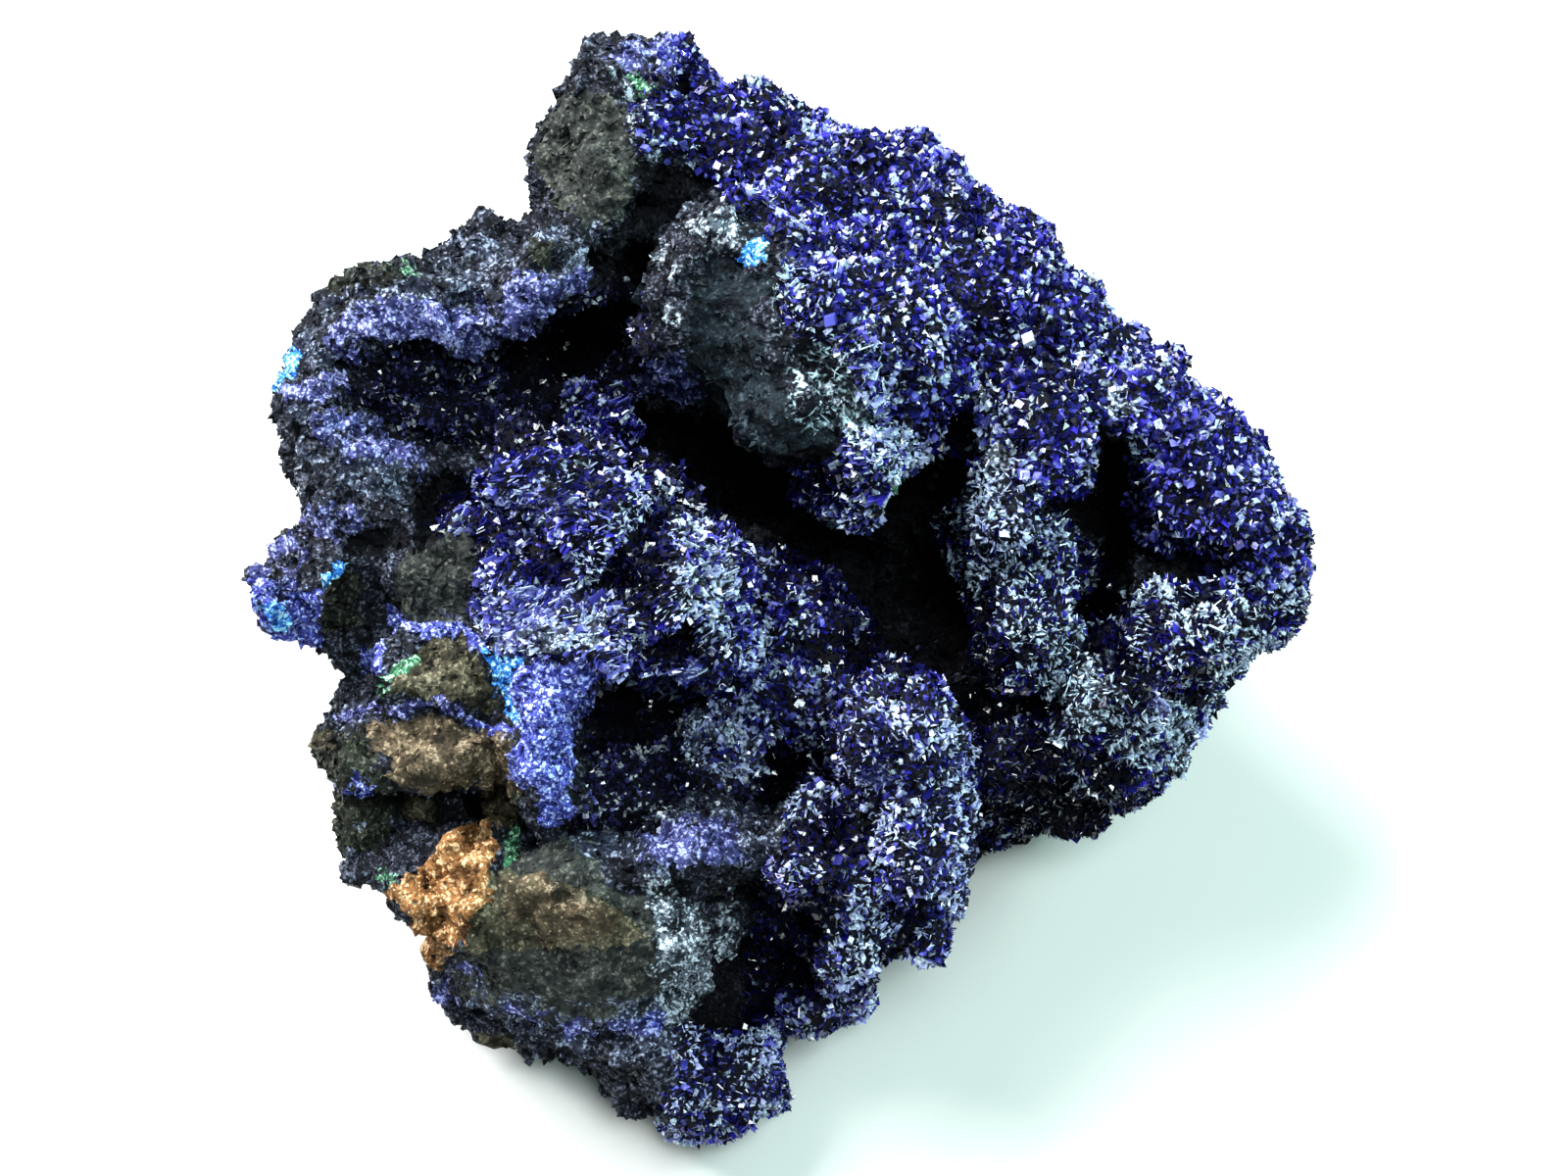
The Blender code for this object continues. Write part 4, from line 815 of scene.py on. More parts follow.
@dataclass
class MeshArrays:
    """A mesh's triangles as arrays, with a value at each point for each stain."""

    points: np.ndarray
    normals: np.ndarray
    triangles: np.ndarray
    weights: dict[Stain, np.ndarray]

    # How many places are tried for each one that there is room for.
    TRIES = 2.6

    @classmethod
    def of(cls, mesh: bpy.types.Mesh, weights: dict[Stain, np.ndarray]) -> "MeshArrays":
        """Reads a mesh.

        Args:
            mesh: The mesh, of triangles or larger faces.
            weights: The stains at its vertices.

        Returns:
            The arrays, in metres.
        """
        mesh.calc_loop_triangles()
        points = read(mesh.vertices, "co", np.float32).astype(float)
        normals = read(mesh.vertices, "normal", np.float32).astype(float)
        return cls(points, normals, read(mesh.loop_triangles, "vertices", np.int32), weights)

    def sample(
        self, density: np.ndarray, spacing: float, draw: np.random.Generator
    ) -> tuple[np.ndarray, np.ndarray, np.ndarray]:
        """Scatters places over the surface, kept apart from each other.

        Args:
            density: How likely a place is at each point, from 0 to 1.
            spacing: About how far apart the places are, in millimetres.
            draw: The random numbers to use.

        Returns:
            The places, the surface's normals there, and the index of a nearby point.
        """
        corners = self.points[self.triangles]
        crosses = np.cross(corners[:, 1] - corners[:, 0], corners[:, 2] - corners[:, 0])
        areas = np.linalg.norm(crosses, axis=1) / 2
        chances = areas * density[self.triangles].mean(axis=1)
        total = chances.sum()
        wanted = int(total / (spacing * MM) ** 2 * self.TRIES)
        chosen = draw.choice(len(areas), size=wanted, p=chances / total)
        shares = draw.dirichlet((1, 1, 1), size=wanted)
        places = np.einsum("ij,ijk->ik", shares, corners[chosen])
        normals = unit(np.einsum("ij,ijk->ik", shares, self.normals[self.triangles[chosen]]), TINY)
        shift = draw.random(3) * spacing * MM
        cells = np.floor((places + shift) / (spacing * MM)).astype(np.int64)
        _, first = np.unique(cells, axis=0, return_index=True)
        return places[first], normals[first], self.triangles[chosen[first], 0]


def placed(name: str, data: bpy.types.ID) -> bpy.types.Object:
    """Returns a new object that holds this data, linked to the scene."""
    made = bpy.data.objects.new(name, data)
    bpy.context.scene.collection.objects.link(made)
    return made


def mesh_object(name: str, points: np.ndarray, triangles: np.ndarray) -> bpy.types.Object:
    """Makes an object of many joined copies.

    Args:
        name: The object's name.
        points: World points in metres.
        triangles: Three points of each face.

    Returns:
        The object, at the origin.
    """
    mesh = bpy.data.meshes.new(name)
    mesh.vertices.add(len(points))
    mesh.vertices.foreach_set("co", points.astype(np.float32).ravel())
    mesh.loops.add(len(triangles) * 3)
    mesh.loops.foreach_set("vertex_index", triangles.astype(np.int32).ravel())
    mesh.polygons.add(len(triangles))
    mesh.polygons.foreach_set("loop_start", np.arange(0, len(triangles) * 3, 3, dtype=np.int32))
    mesh.update(calc_edges=True)
    mesh.shade_flat()
    return placed(name, mesh)


def set_attribute(mesh: bpy.types.Mesh, name: str, values: np.ndarray) -> None:
    """Stores a value at each point of a mesh.

    Args:
        mesh: The mesh.
        name: The attribute's name.
        values: One value a point.
    """
    layer = mesh.attributes.new(name, "FLOAT", "POINT")
    layer.data.foreach_set("value", values.astype(np.float32))


def applied(made: bpy.types.Object) -> None:
    """Replaces an object's mesh by what its modifiers make of it."""
    bpy.context.view_layer.update()
    evaluated = made.evaluated_get(bpy.context.evaluated_depsgraph_get())
    mesh = bpy.data.meshes.new_from_object(evaluated)
    made.modifiers.clear()
    made.data = mesh


class NodeSketch:
    """One material's nodes, joined as they are added. Patterns are in the object's own coordinates."""

    def __init__(self, name: str) -> None:
        """Starts a Principled material.

        Args:
            name: The material's name.
        """
        self.material = bpy.data.materials.new(name)
        self.material.use_nodes = True
        self.tree = self.material.node_tree
        self.shader = self.tree.nodes["Principled BSDF"]
        self.place = self.add("ShaderNodeTexCoord").outputs["Object"]

    def add(self, kind: str, inputs: dict[Any, Any] | None = None, **settings: Any) -> bpy.types.Node:
        """Adds a node.

        Args:
            kind: The node's type.
            inputs: What each input takes: a socket to join to it, or its value.
            **settings: The node's own settings.

        Returns:
            The node.
        """
        node = self.tree.nodes.new(kind)
        for name, value in settings.items():
            setattr(node, name, value)
        for name, value in (inputs or {}).items():
            self.feed(node.inputs[name], value)
        return node

    def feed(self, socket: Socket, value: Any) -> None:
        """Joins a socket to an input, or sets the input's value."""
        if isinstance(value, bpy.types.NodeSocket):
            self.tree.links.new(value, socket)
        elif isinstance(value, tuple) and socket.type == "RGBA":
            socket.default_value = (*value, 1.0)
        else:
            socket.default_value = value

    def attribute(self, name: str) -> Socket:
        """Returns the value of one of the mesh's attributes."""
        return self.add("ShaderNodeAttribute", attribute_name=name).outputs["Fac"]

    def noise(self, size: float, detail: float = 3.0, roughness: float = 0.6, bent: float = 0.0) -> Socket:
        """Returns noise with bumps of this size in millimetres."""
        inputs = {"Vector": self.place, "Scale": 1 / (size * MM), "Detail": detail}
        inputs |= {"Roughness": roughness, "Distortion": bent}
        return self.add("ShaderNodeTexNoise", inputs).outputs["Fac"]

    def cells(self, size: float) -> bpy.types.Node:
        """Returns a pattern of cells of this size in millimetres."""
        inputs = {"Vector": self.place, "Scale": 1 / (size * MM)}
        return self.add("ShaderNodeTexVoronoi", inputs)

    def math(self, operation: str, *values: Any) -> Socket:
        """Returns a sum, product or other operation on values or sockets."""
        return self.add("ShaderNodeMath", dict(enumerate(values)), operation=operation).outputs[0]

    def plus(self, first: Any, second: Any, share: float) -> Socket:
        """Returns the first value with a share of the second added."""
        return self.math("ADD", first, self.math("MULTIPLY", second, share))

    def step(self, value: Socket, low: float, high: float, least: float = 0.0, most: float = 1.0) -> Socket:
        """Returns a smooth rise from least to most as the value goes from low to high."""
        inputs = {"Value": value, "From Min": low, "From Max": high, "To Min": least, "To Max": most}
        return self.add("ShaderNodeMapRange", inputs, interpolation_type="SMOOTHSTEP").outputs[0]

    def mix(self, share: Any, first: Any, second: Any) -> Socket:
        """Returns a mix of two colours, all of the second where the share is 1."""
        return self.add("ShaderNodeMix", {0: share, 6: first, 7: second}, data_type="RGBA").outputs[2]

    def bump(self, height: Socket, distance: float, strength: float) -> Socket:
        """Returns normals bumped by a height, over this distance in millimetres."""
        inputs = {"Height": height, "Distance": distance * MM, "Strength": strength}
        return self.add("ShaderNodeBump", inputs).outputs[0]

    def dress(self, **inputs: Any) -> bpy.types.Material:
        """Feeds the shader, with _ for a space in an input's name, and returns the material."""
        for name, value in inputs.items():
            self.feed(self.shader.inputs[name.replace("_", " ")], value)
        return self.material


@dataclass(frozen=True)
class StainLayer:
    """One stain's look: a dark and a light colour in blotches, bright specks, and its border's raggedness."""

    stain: Stain
    dark: Colour
    light: Colour
    speck: Colour
    speckled: float
    mottle: float
    ragged: float = 1.1
    border: float = 1.1
    grainy: float = 0.4


LAYERS: tuple[StainLayer, ...] = (
    StainLayer(
        Stain.OLIVE, (0.003, 0.004, 0.003), (0.024, 0.027, 0.020), (0.08, 0.09, 0.07),
        speckled=0.14, mottle=1.3,
    ),
    StainLayer(
        Stain.ASH, (0.008, 0.010, 0.011), (0.049, 0.055, 0.052), (0.11, 0.115, 0.10),
        speckled=0.12, mottle=1.8,
    ),
    StainLayer(
        Stain.SLATE, (0.003, 0.005, 0.009), (0.019, 0.030, 0.040), (0.055, 0.075, 0.095),
        speckled=0.08, mottle=1.6,
    ),
    StainLayer(
        Stain.BROWN, (0.012, 0.011, 0.007), (0.088, 0.080, 0.054), (0.20, 0.18, 0.13),
        speckled=0.13, mottle=2.0, grainy=0.22,
    ),
    StainLayer(
        Stain.TAN, (0.022, 0.017, 0.011), (0.125, 0.096, 0.064), (0.26, 0.21, 0.15),
        speckled=0.15, mottle=2.0, grainy=0.22,
    ),
    StainLayer(
        Stain.OCHRE, (0.050, 0.021, 0.006), (0.330, 0.160, 0.064), (0.56, 0.39, 0.24),
        speckled=0.20, mottle=2.2, grainy=0.22,
    ),
    StainLayer(
        Stain.FROST, (0.006, 0.007, 0.020), (0.066, 0.078, 0.120), (0.28, 0.32, 0.43),
        speckled=0.20, mottle=1.8, ragged=1.5, grainy=0.3,
    ),
    StainLayer(
        Stain.PALE, (0.008, 0.012, 0.016), (0.150, 0.176, 0.225), (0.48, 0.55, 0.64),
        speckled=0.30, mottle=1.5, ragged=1.5, grainy=0.3,
    ),
    StainLayer(
        Stain.LAVENDER, (0.012, 0.013, 0.060), (0.095, 0.103, 0.290), (0.34, 0.37, 0.66),
        speckled=0.24, mottle=1.6, ragged=1.4, grainy=0.3,
    ),
    StainLayer(
        Stain.COBALT, (0.010, 0.012, 0.10), (0.120, 0.140, 0.57), (0.44, 0.52, 0.90),
        speckled=0.25, mottle=0.7, ragged=1.2,
    ),
    StainLayer(
        Stain.SKY, (0.008, 0.070, 0.34), (0.070, 0.320, 0.78), (0.45, 0.78, 0.92),
        speckled=0.28, mottle=0.6, ragged=1.2,
    ),
    StainLayer(
        Stain.GREEN, (0.010, 0.050, 0.030), (0.080, 0.230, 0.130), (0.34, 0.60, 0.42),
        speckled=0.30, mottle=0.5, ragged=1.2,
    ),
    # Painted shade: the rock under the crystals is near black, as the shade in the gaps between them.
    StainLayer(
        Stain.DRUSE, (0.0003, 0.0003, 0.0015), (0.0010, 0.0010, 0.008), (0.02, 0.022, 0.08),
        speckled=0.10, mottle=0.5, ragged=0.6,
    ),
)
BARE_ROCK = StainLayer(
    Stain.HIGH, (0.0012, 0.0015, 0.004), (0.018, 0.021, 0.034), (0.10, 0.11, 0.15), speckled=0.20, mottle=1.5,
)


@dataclass(frozen=True)
class StoneFinish:
    """The host rock: dark slate with stains of iron, azurite and malachite. Sizes are in millimetres."""

    name: str = "host_rock_stone"
    dark_grain_and_shade: Colour = (0.0008, 0.0009, 0.003)
    thread: Colour = (0.55, 0.75, 0.85)
    fine_size: float = 0.45
    hole_size: float = 1.15
    grain_size: float = 0.5
    speck_size: float = 0.26
    bump_depth: float = 0.30
    rough: float = 0.78
    glassy: float = 0.30

    def make(self) -> bpy.types.Material:
        """Returns the material."""
        sketch = NodeSketch(self.name)
        tone = sketch.attribute("tone")
        fine = sketch.noise(self.fine_size, 3, 0.65)
        specks = sketch.cells(self.speck_size).outputs["Color"]
        colour = self.blotches(sketch, BARE_ROCK, fine, specks)
        for layer in LAYERS:
            colour = self.cover(sketch, colour, layer, fine, specks)
        colour = self.threads(sketch, colour)
        # Painted shade: places that stand out less, by the HIGH attribute, are darkened towards near black.
        shade_by_height = sketch.plus(sketch.attribute(Stain.HIGH.value), fine, 0.6)
        colour = sketch.mix(sketch.step(shade_by_height, 0.32, 0.80, 0.92, 0.0), colour, self.dark_grain_and_shade)
        # Painted shade: the small holes are darkened towards near black, as well as sunk by the bump.
        gap = sketch.cells(self.hole_size)
        holes = sketch.plus(gap.outputs["Distance"], gap.outputs["Color"], 0.9)
        colour = sketch.mix(sketch.step(holes, 0.28, 0.52, 0.85, 0.0), colour, self.dark_grain_and_shade)
        # Painted shade: the SHADE zones darken hollows and gaps towards near black.
        shade = sketch.math("MULTIPLY", sketch.attribute(Stain.SHADE.value), 0.88)
        colour = sketch.mix(shade, colour, self.dark_grain_and_shade)
        colour = sketch.mix(sketch.step(tone, 0.0, 0.35, 0.55, 0.0), colour, self.dark_grain_and_shade)
        grains = sketch.cells(self.grain_size).outputs["Distance"]
        height = sketch.plus(fine, sketch.step(holes, 0.25, 0.5), 0.8)
        height = sketch.plus(height, grains, -0.5)
        normal = sketch.bump(height, self.bump_depth, 0.9)
        roughness = sketch.step(tone, 0.80, 0.84, self.rough, self.glassy)
        return sketch.dress(Base_Color=colour, Roughness=roughness, Normal=normal, IOR=1.30)

    @staticmethod
    def blotches(sketch: NodeSketch, layer: StainLayer, fine: Socket, specks: Socket) -> Socket:
        """Makes a stain's own colours.

        Args:
            sketch: The material.
            layer: The stain.
            fine: Fine noise.
            specks: A value for each small grain.

        Returns:
            The colour.
        """
        broad = sketch.noise(layer.mottle, 4, 0.7, 0.3)
        mottled = sketch.math("MULTIPLY", broad, 1 - layer.grainy)
        both = sketch.plus(mottled, fine, layer.grainy)
        colour = sketch.mix(sketch.step(both, 0.38, 0.62), layer.dark, layer.light)
        bright = sketch.plus(specks, sketch.math("SUBTRACT", both, 0.5), 2.2)
        edge = 0.86 - layer.speckled
        return sketch.mix(sketch.step(bright, edge, edge + 0.16), colour, layer.speck)

    def cover(
        self, sketch: NodeSketch, under: Socket, layer: StainLayer, fine: Socket, specks: Socket
    ) -> Socket:
        """Lays a stain over a colour.

        Args:
            sketch: The material.
            under: The colour so far.
            layer: The stain.
            fine: Fine noise, which breaks up its border.
            specks: A value for each small grain.

        Returns:
            The colour with the stain on it.
        """
        edge = sketch.noise(layer.border, 3, 0.65, 0.4)
        both = sketch.plus(sketch.math("MULTIPLY", edge, 0.65), fine, 0.35)
        offset = sketch.math("SUBTRACT", both, 0.5)
        reach = sketch.plus(sketch.attribute(layer.stain.value), offset, layer.ragged)
        return sketch.mix(sketch.step(reach, 0.38, 0.60), under, self.blotches(sketch, layer, fine, specks))

    def threads(self, sketch: NodeSketch, under: Socket) -> Socket:
        """Lays thin pale curls over a colour, where the swirl attribute is.

        Args:
            sketch: The material.
            under: The colour so far.

        Returns:
            The colour with the curls on it.
        """
        lines = [
            sketch.math("ABSOLUTE", sketch.math("SUBTRACT", sketch.noise(size, 1, 0.4, 1.2), level))
            for size, level in ((3.2, 0.5), (2.3, 0.46))
        ]
        thin = sketch.step(sketch.math("MINIMUM", *lines), 0.012, 0.036, 1.0, 0.0)
        broken = sketch.step(sketch.noise(1.3, 2), 0.42, 0.56)
        share = sketch.math("MULTIPLY", thin, broken)
        share = sketch.math("MULTIPLY", share, sketch.attribute(Stain.SWIRL.value))
        return sketch.mix(share, under, self.thread)


@dataclass(frozen=True)
class AzuriteFinish:
    """Glassy azurite crystals, each with its own tone from blue-black to violet, some frosted pale."""

    name: str
    depths: tuple[Colour, Colour, Colour, Colour]
    lilacs: tuple[Colour, Colour]
    frosts: tuple[Colour, Colour]
    roughness: float
    lilac_frost: Colour = (0.40, 0.42, 0.80)

    def make(self) -> bpy.types.Material:
        """Returns the material."""
        sketch = NodeSketch(self.name)
        tone = sketch.attribute("tone")
        lilac = sketch.attribute("lilac")
        grain = sketch.noise(0.35)
        colour = sketch.mix(sketch.step(tone, 0.05, 0.40), self.depths[0], self.depths[1])
        colour = sketch.mix(sketch.step(tone, 0.35, 0.75), colour, self.depths[2])
        colour = sketch.mix(sketch.step(tone, 0.80, 1.0), colour, self.depths[3])
        soft = sketch.mix(sketch.step(tone, 0.1, 0.7), *self.lilacs)
        colour = sketch.mix(sketch.step(lilac, 0.3, 0.8), colour, soft)
        pale = sketch.mix(sketch.step(grain, 0.35, 0.65), *self.frosts)
        pale = sketch.mix(sketch.step(lilac, 0.2, 0.8, 0.0, 0.6), pale, self.lilac_frost)
        frosted = sketch.plus(sketch.attribute("frost"), grain, 0.3)
        colour = sketch.mix(sketch.step(frosted, 0.30, 0.85), colour, pale)
        # Painted shade: the SHADE attribute darkens crystals in hollows towards the darkest tone.
        shade = sketch.math("MULTIPLY", sketch.attribute(Stain.SHADE.value), 0.85)
        colour = sketch.mix(shade, colour, self.depths[0])
        normal = sketch.bump(grain, 0.04, 0.25)
        return sketch.dress(Base_Color=colour, Roughness=self.roughness, Normal=normal, IOR=1.56)


CRYSTAL_FINISH = AzuriteFinish(
    "azurite_crystals",
    depths=((0.0008, 0.0008, 0.006), (0.007, 0.006, 0.10), (0.040, 0.032, 0.37), (0.22, 0.20, 0.78)),
    lilacs=((0.020, 0.020, 0.16), (0.18, 0.19, 0.62)),
    frosts=((0.16, 0.21, 0.28), (0.62, 0.74, 0.88)),
    roughness=0.13,
)
# Painted shade: a darker copy of the crystal colours, for the crystals deep in the hollows.
SHADE_FINISH = AzuriteFinish(
    "azurite_shaded_in_hollows",
    depths=((0.004, 0.004, 0.013), (0.020, 0.021, 0.064), (0.044, 0.045, 0.16), (0.12, 0.12, 0.36)),
    lilacs=((0.018, 0.018, 0.09), (0.11, 0.11, 0.33)),
    frosts=((0.16, 0.18, 0.22), (0.55, 0.58, 0.64)),
    roughness=0.16,
)


def crystal_shape(habit: Habit) -> tuple[np.ndarray, np.ndarray]:
    """Makes one closed crystal, a unit wide and high, to be copied.

    Args:
        habit: Its shape.

    Returns:
        Its points and its triangles, with its foot at z = 0 and its tip at z = 1.
    """
    bm = bmesh.new()
    if habit is Habit.SHARD:
        bmesh.ops.create_cone(bm, cap_ends=True, segments=3, radius1=0.6, radius2=0.0, depth=1.0)
    else:
        bmesh.ops.create_cube(bm, size=1.0)
    bmesh.ops.translate(bm, verts=bm.verts[:], vec=(0, 0, 0.5))
    top = [vert for vert in bm.verts if vert.co.z > 0.5]
    if habit in (Habit.WEDGE, Habit.CHIP):
        bmesh.ops.scale(bm, verts=top, vec=(0.8 if habit is Habit.WEDGE else 0.0, 0.0, 1.0))
        bmesh.ops.remove_doubles(bm, verts=top, dist=1e-4)
    for vert in top:
        if habit is Habit.BLADE:
            vert.co.z -= 0.22 * (vert.co.x + 0.5)
            vert.co.y *= 0.45
        elif habit is Habit.BLOCK:
            vert.co.z -= 0.28 * (vert.co.y + 0.5)
            vert.co.x *= 0.82
    bmesh.ops.triangulate(bm, faces=bm.faces[:])
    bmesh.ops.recalc_face_normals(bm, faces=bm.faces[:])
    bm.verts.index_update()
    points = np.array([vert.co[:] for vert in bm.verts])
    triangles = np.array([[vert.index for vert in face.verts] for face in bm.faces])
    bm.free()
    return points, triangles


@dataclass
class CrystalCopies:
    """The joined copies of a crust's crystals, with each point's crystal and how high on it the point is."""

    points: np.ndarray
    triangles: np.ndarray
    owners: np.ndarray
    tips: np.ndarray


@dataclass
class CrystalCrust:
    """A crust of crystals on the rock, joined in one mesh. Sizes are in millimetres."""

    area: CrustArea
    sunk: float = 0.30
    slant: float = 0.35
    drift_size: float = 3.2
    flow_size: float = 4.0
    vigour_size: float = 4.5
    mood_size: float = 6.0
    clump_size: float = 2.4
    large: tuple[float, float] = (1.25, 1.7)
    paleness: tuple[float, float] = (0.65, 1.0)
    draw: np.random.Generator = field(init=False)
    grain: Grain = field(init=False)

    def __post_init__(self) -> None:
        """Starts the crust's own random numbers and noise."""
        self.draw = np.random.default_rng(self.area.seed)
        self.grain = Grain(self.area.seed + 100)

    def build(self, surface: MeshArrays, density: np.ndarray, finish: bpy.types.Material) -> bpy.types.Object:
        """Stands the crystals on the rock.

        Args:
            surface: The rock's visible surface.
            density: How thick the crust is at its points.
            finish: Their material.

        Returns:
            The crust.
        """
        places, normals, near = surface.sample(density, self.area.mix.spacing, self.draw)
        spots = FACE.from_world(places)
        here = {stain: surface.weights[stain][near] for stain in Stain}
        axes = self.axes(normals, spots)
        width, height = self.sizes(spots)
        values = self.colours(spots, here)
        copies = self.copies(places, axes, width, height)
        crust = mesh_object(self.area.name, copies.points, copies.triangles)
        foot_shade = np.ones(len(copies.points))
        if self.area.stained:
            values |= {stain.value: weight for stain, weight in here.items()}
            values["tone"] = self.draw.random(len(places))
        else:
            # Painted shade: tone and frost fade towards each crystal's foot, so the gaps between crystals
            # look dark.
            foot_shade = 0.35 + 0.65 * np.clip(copies.tips, 0, 1)
        for name, value in values.items():
            own = value[copies.owners]
            set_attribute(crust.data, name, own * foot_shade if name in ("tone", "frost") else own)
        crust.data.materials.append(finish)
        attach(crust, BODY)
        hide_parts(self.area.node)
        return crust

    def axes(self, normals: np.ndarray, spots: np.ndarray) -> np.ndarray:
        """Turns the crystals.

        Args:
            normals: The surface's normals at them.
            spots: Their places on the face.

        Returns:
            Three directions for each: across it, through it and up it.
        """
        mix, draw, grain = self.area.mix, self.draw, self.grain
        drift = grain.vectors(spots, self.drift_size, (0, 31, 62))
        up = unit(normals + mix.lean * (draw.normal(size=normals.shape) + drift))
        flow = grain.vectors(spots, self.flow_size, (188, 235, 282)) + np.array(mix.way) @ FACE.axes()
        flow = unit(flow, 1e-9)
        side = mix.comb * flow + (1 - mix.comb) * draw.normal(size=normals.shape) * 0.8
        side = unit(side - np.einsum("ij,ij->i", side, up)[:, None] * up)
        return np.stack([side, np.cross(up, side), up], axis=1)

    def sizes(self, spots: np.ndarray) -> tuple[np.ndarray, np.ndarray]:
        """Sizes the crystals.

        Args:
            spots: Their places on the face.

        Returns:
            Their widths and heights.
        """
        mix, draw, count = self.area.mix, self.draw, len(spots)
        vigour = 1 + 0.35 * self.grain.cloud(spots + 11, self.vigour_size, 2)
        large = np.where(draw.random(count) < mix.large_share, draw.uniform(*self.large, count), 1.0)
        width = draw.uniform(*mix.width, count) * large * vigour
        height = draw.uniform(*mix.height, count) * np.sqrt(large) * vigour
        return width, height

    def colours(self, spots: np.ndarray, here: dict[Stain, np.ndarray]) -> dict[str, np.ndarray]:
        """Colours the crystals in clumps, with painted shade that makes them darker and less pale in hollows
        and low places.

        Args:
            spots: Their places on the face.
            here: The stains at them.

        Returns:
            A value for each crystal, for each attribute of the material.
        """
        mix, draw, grain, count = self.area.mix, self.draw, self.grain, len(spots)
        # Painted shade and light: crystals in low places get darker tones and fewer pale ones, and a few
        # raised ones the brightest tone as painted sparkle.
        raised = smooth_step(here[Stain.HIGH], 0.22, 0.72)
        mood = grain.cloud(spots + 53, self.mood_size)
        tone = (draw.uniform(*mix.tone, count) + 0.30 * mood) * (0.30 + 0.85 * raised)
        tone = np.clip(np.where(draw.random(count) < 0.05 * raised, 1.0, tone), 0, 1)
        lilac = np.maximum(here[Stain.LAVENDER], 0.8 * here[Stain.COBALT])
        lilac = np.maximum(lilac, mix.violet * draw.random(count))
        clump = smooth_step(grain.cloud(spots + 71, self.clump_size), -0.25, 0.35)
        tone = tone * (0.70 + 0.45 * clump)
        share = mix.pale_share * (0.15 + 1.7 * clump) * (0.1 + 1.5 * raised)
        share = share + 0.60 * here[Stain.PALE] + 0.55 * here[Stain.FROST] + 0.25 * here[Stain.LAVENDER]
        share = share * (1 - 0.85 * here[Stain.SHADE])
        pale = np.where(draw.random(count) < share, draw.uniform(*self.paleness, count), 0.0)
        return {"tone": tone, "frost": pale, "lilac": lilac, Stain.SHADE.value: here[Stain.SHADE]}

    def copies(
        self, places: np.ndarray, axes: np.ndarray, width: np.ndarray, height: np.ndarray
    ) -> CrystalCopies:
        """Lays a copy of a crystal at every place.

        Args:
            places: Where they stand.
            axes: Their directions.
            width: Their widths.
            height: Their heights.

        Returns:
            The copies, one habit after another.
        """
        mix, draw = self.area.mix, self.draw
        shares = np.array([share for _, share in mix.shares])
        kinds = draw.choice(len(shares), size=len(places), p=shares / shares.sum())
        points, triangles, owners, tips = [], [], [], []
        start = 0
        for kind, (habit, _) in enumerate(mix.shares):
            mine = np.nonzero(kinds == kind)[0]
            number = len(mine)
            own_points, own_triangles = crystal_shape(habit)
            broad, thin = HABIT_SIZES[habit]
            local = np.broadcast_to(own_points, (number, *own_points.shape)).copy()
            for across in (0, 1):
                local[..., across] += local[..., 2] * draw.uniform(-self.slant, self.slant, number)[:, None]
            local[..., 0] *= (width[mine] * broad * draw.uniform(1.0, mix.stretch, number))[:, None]
            local[..., 1] *= (width[mine] * thin * draw.uniform(0.7, 1.2, number))[:, None]
            local[..., 2] = local[..., 2] * (height[mine] + self.sunk)[:, None] - self.sunk
            laid = places[mine][:, None] + np.einsum("nij,njk->nik", local, axes[mine] * MM)
            points.append(laid.reshape(-1, 3))
            steps = start + np.arange(number)[:, None, None] * len(own_points)
            triangles.append((own_triangles[None] + steps).reshape(-1, 3))
            owners.append(np.repeat(mine, len(own_points)))
            tips.append(np.tile(own_points[:, 2], number))
            start += number * len(own_points)
        return CrystalCopies(*(np.concatenate(rows) for rows in (points, triangles, owners, tips)))


@dataclass(frozen=True)
class Texture:
    """How far each pattern moves one kind of surface, in millimetres."""

    rise: float
    crags: float
    grit: float
    seams: float
    folds: float = 0.0
    steps: float = 0.0
    pits: float = 0.0
    clusters: float = 0.0

    def of(self, patterns: dict[str, np.ndarray]) -> np.ndarray:
        """Returns how far the surface is pushed out at each point, from patterns by name."""
        parts = [getattr(self, name) * pattern for name, pattern in patterns.items()]
        return self.rise + np.sum(parts, axis=0)


ROUGH = Texture(rise=0.1, crags=0.65, grit=0.30, seams=0.45, folds=0.40, steps=0.7, pits=1.0)
FACETS = Texture(rise=0.1, crags=0.30, grit=0.16, seams=0.25, steps=0.25, pits=0.3)
CRUSTED = Texture(rise=0.95, crags=0.95, grit=0.25, seams=0.3, folds=0.45, clusters=1.4)

# The patches on the back: each stain, how wide its patches are, how rare and how strong.
BACK_PATCHES: tuple[tuple[Stain, float, float, float], ...] = (
    (Stain.BROWN, 15, 0.05, 0.8),
    (Stain.OLIVE, 12, 0.0, 0.7),
    (Stain.LAVENDER, 11, 0.25, 0.7),
    (Stain.FROST, 7, 0.2, 0.7),
    (Stain.OCHRE, 9, 0.45, 0.8),
    (Stain.COBALT, 8, 0.5, 0.8),
)


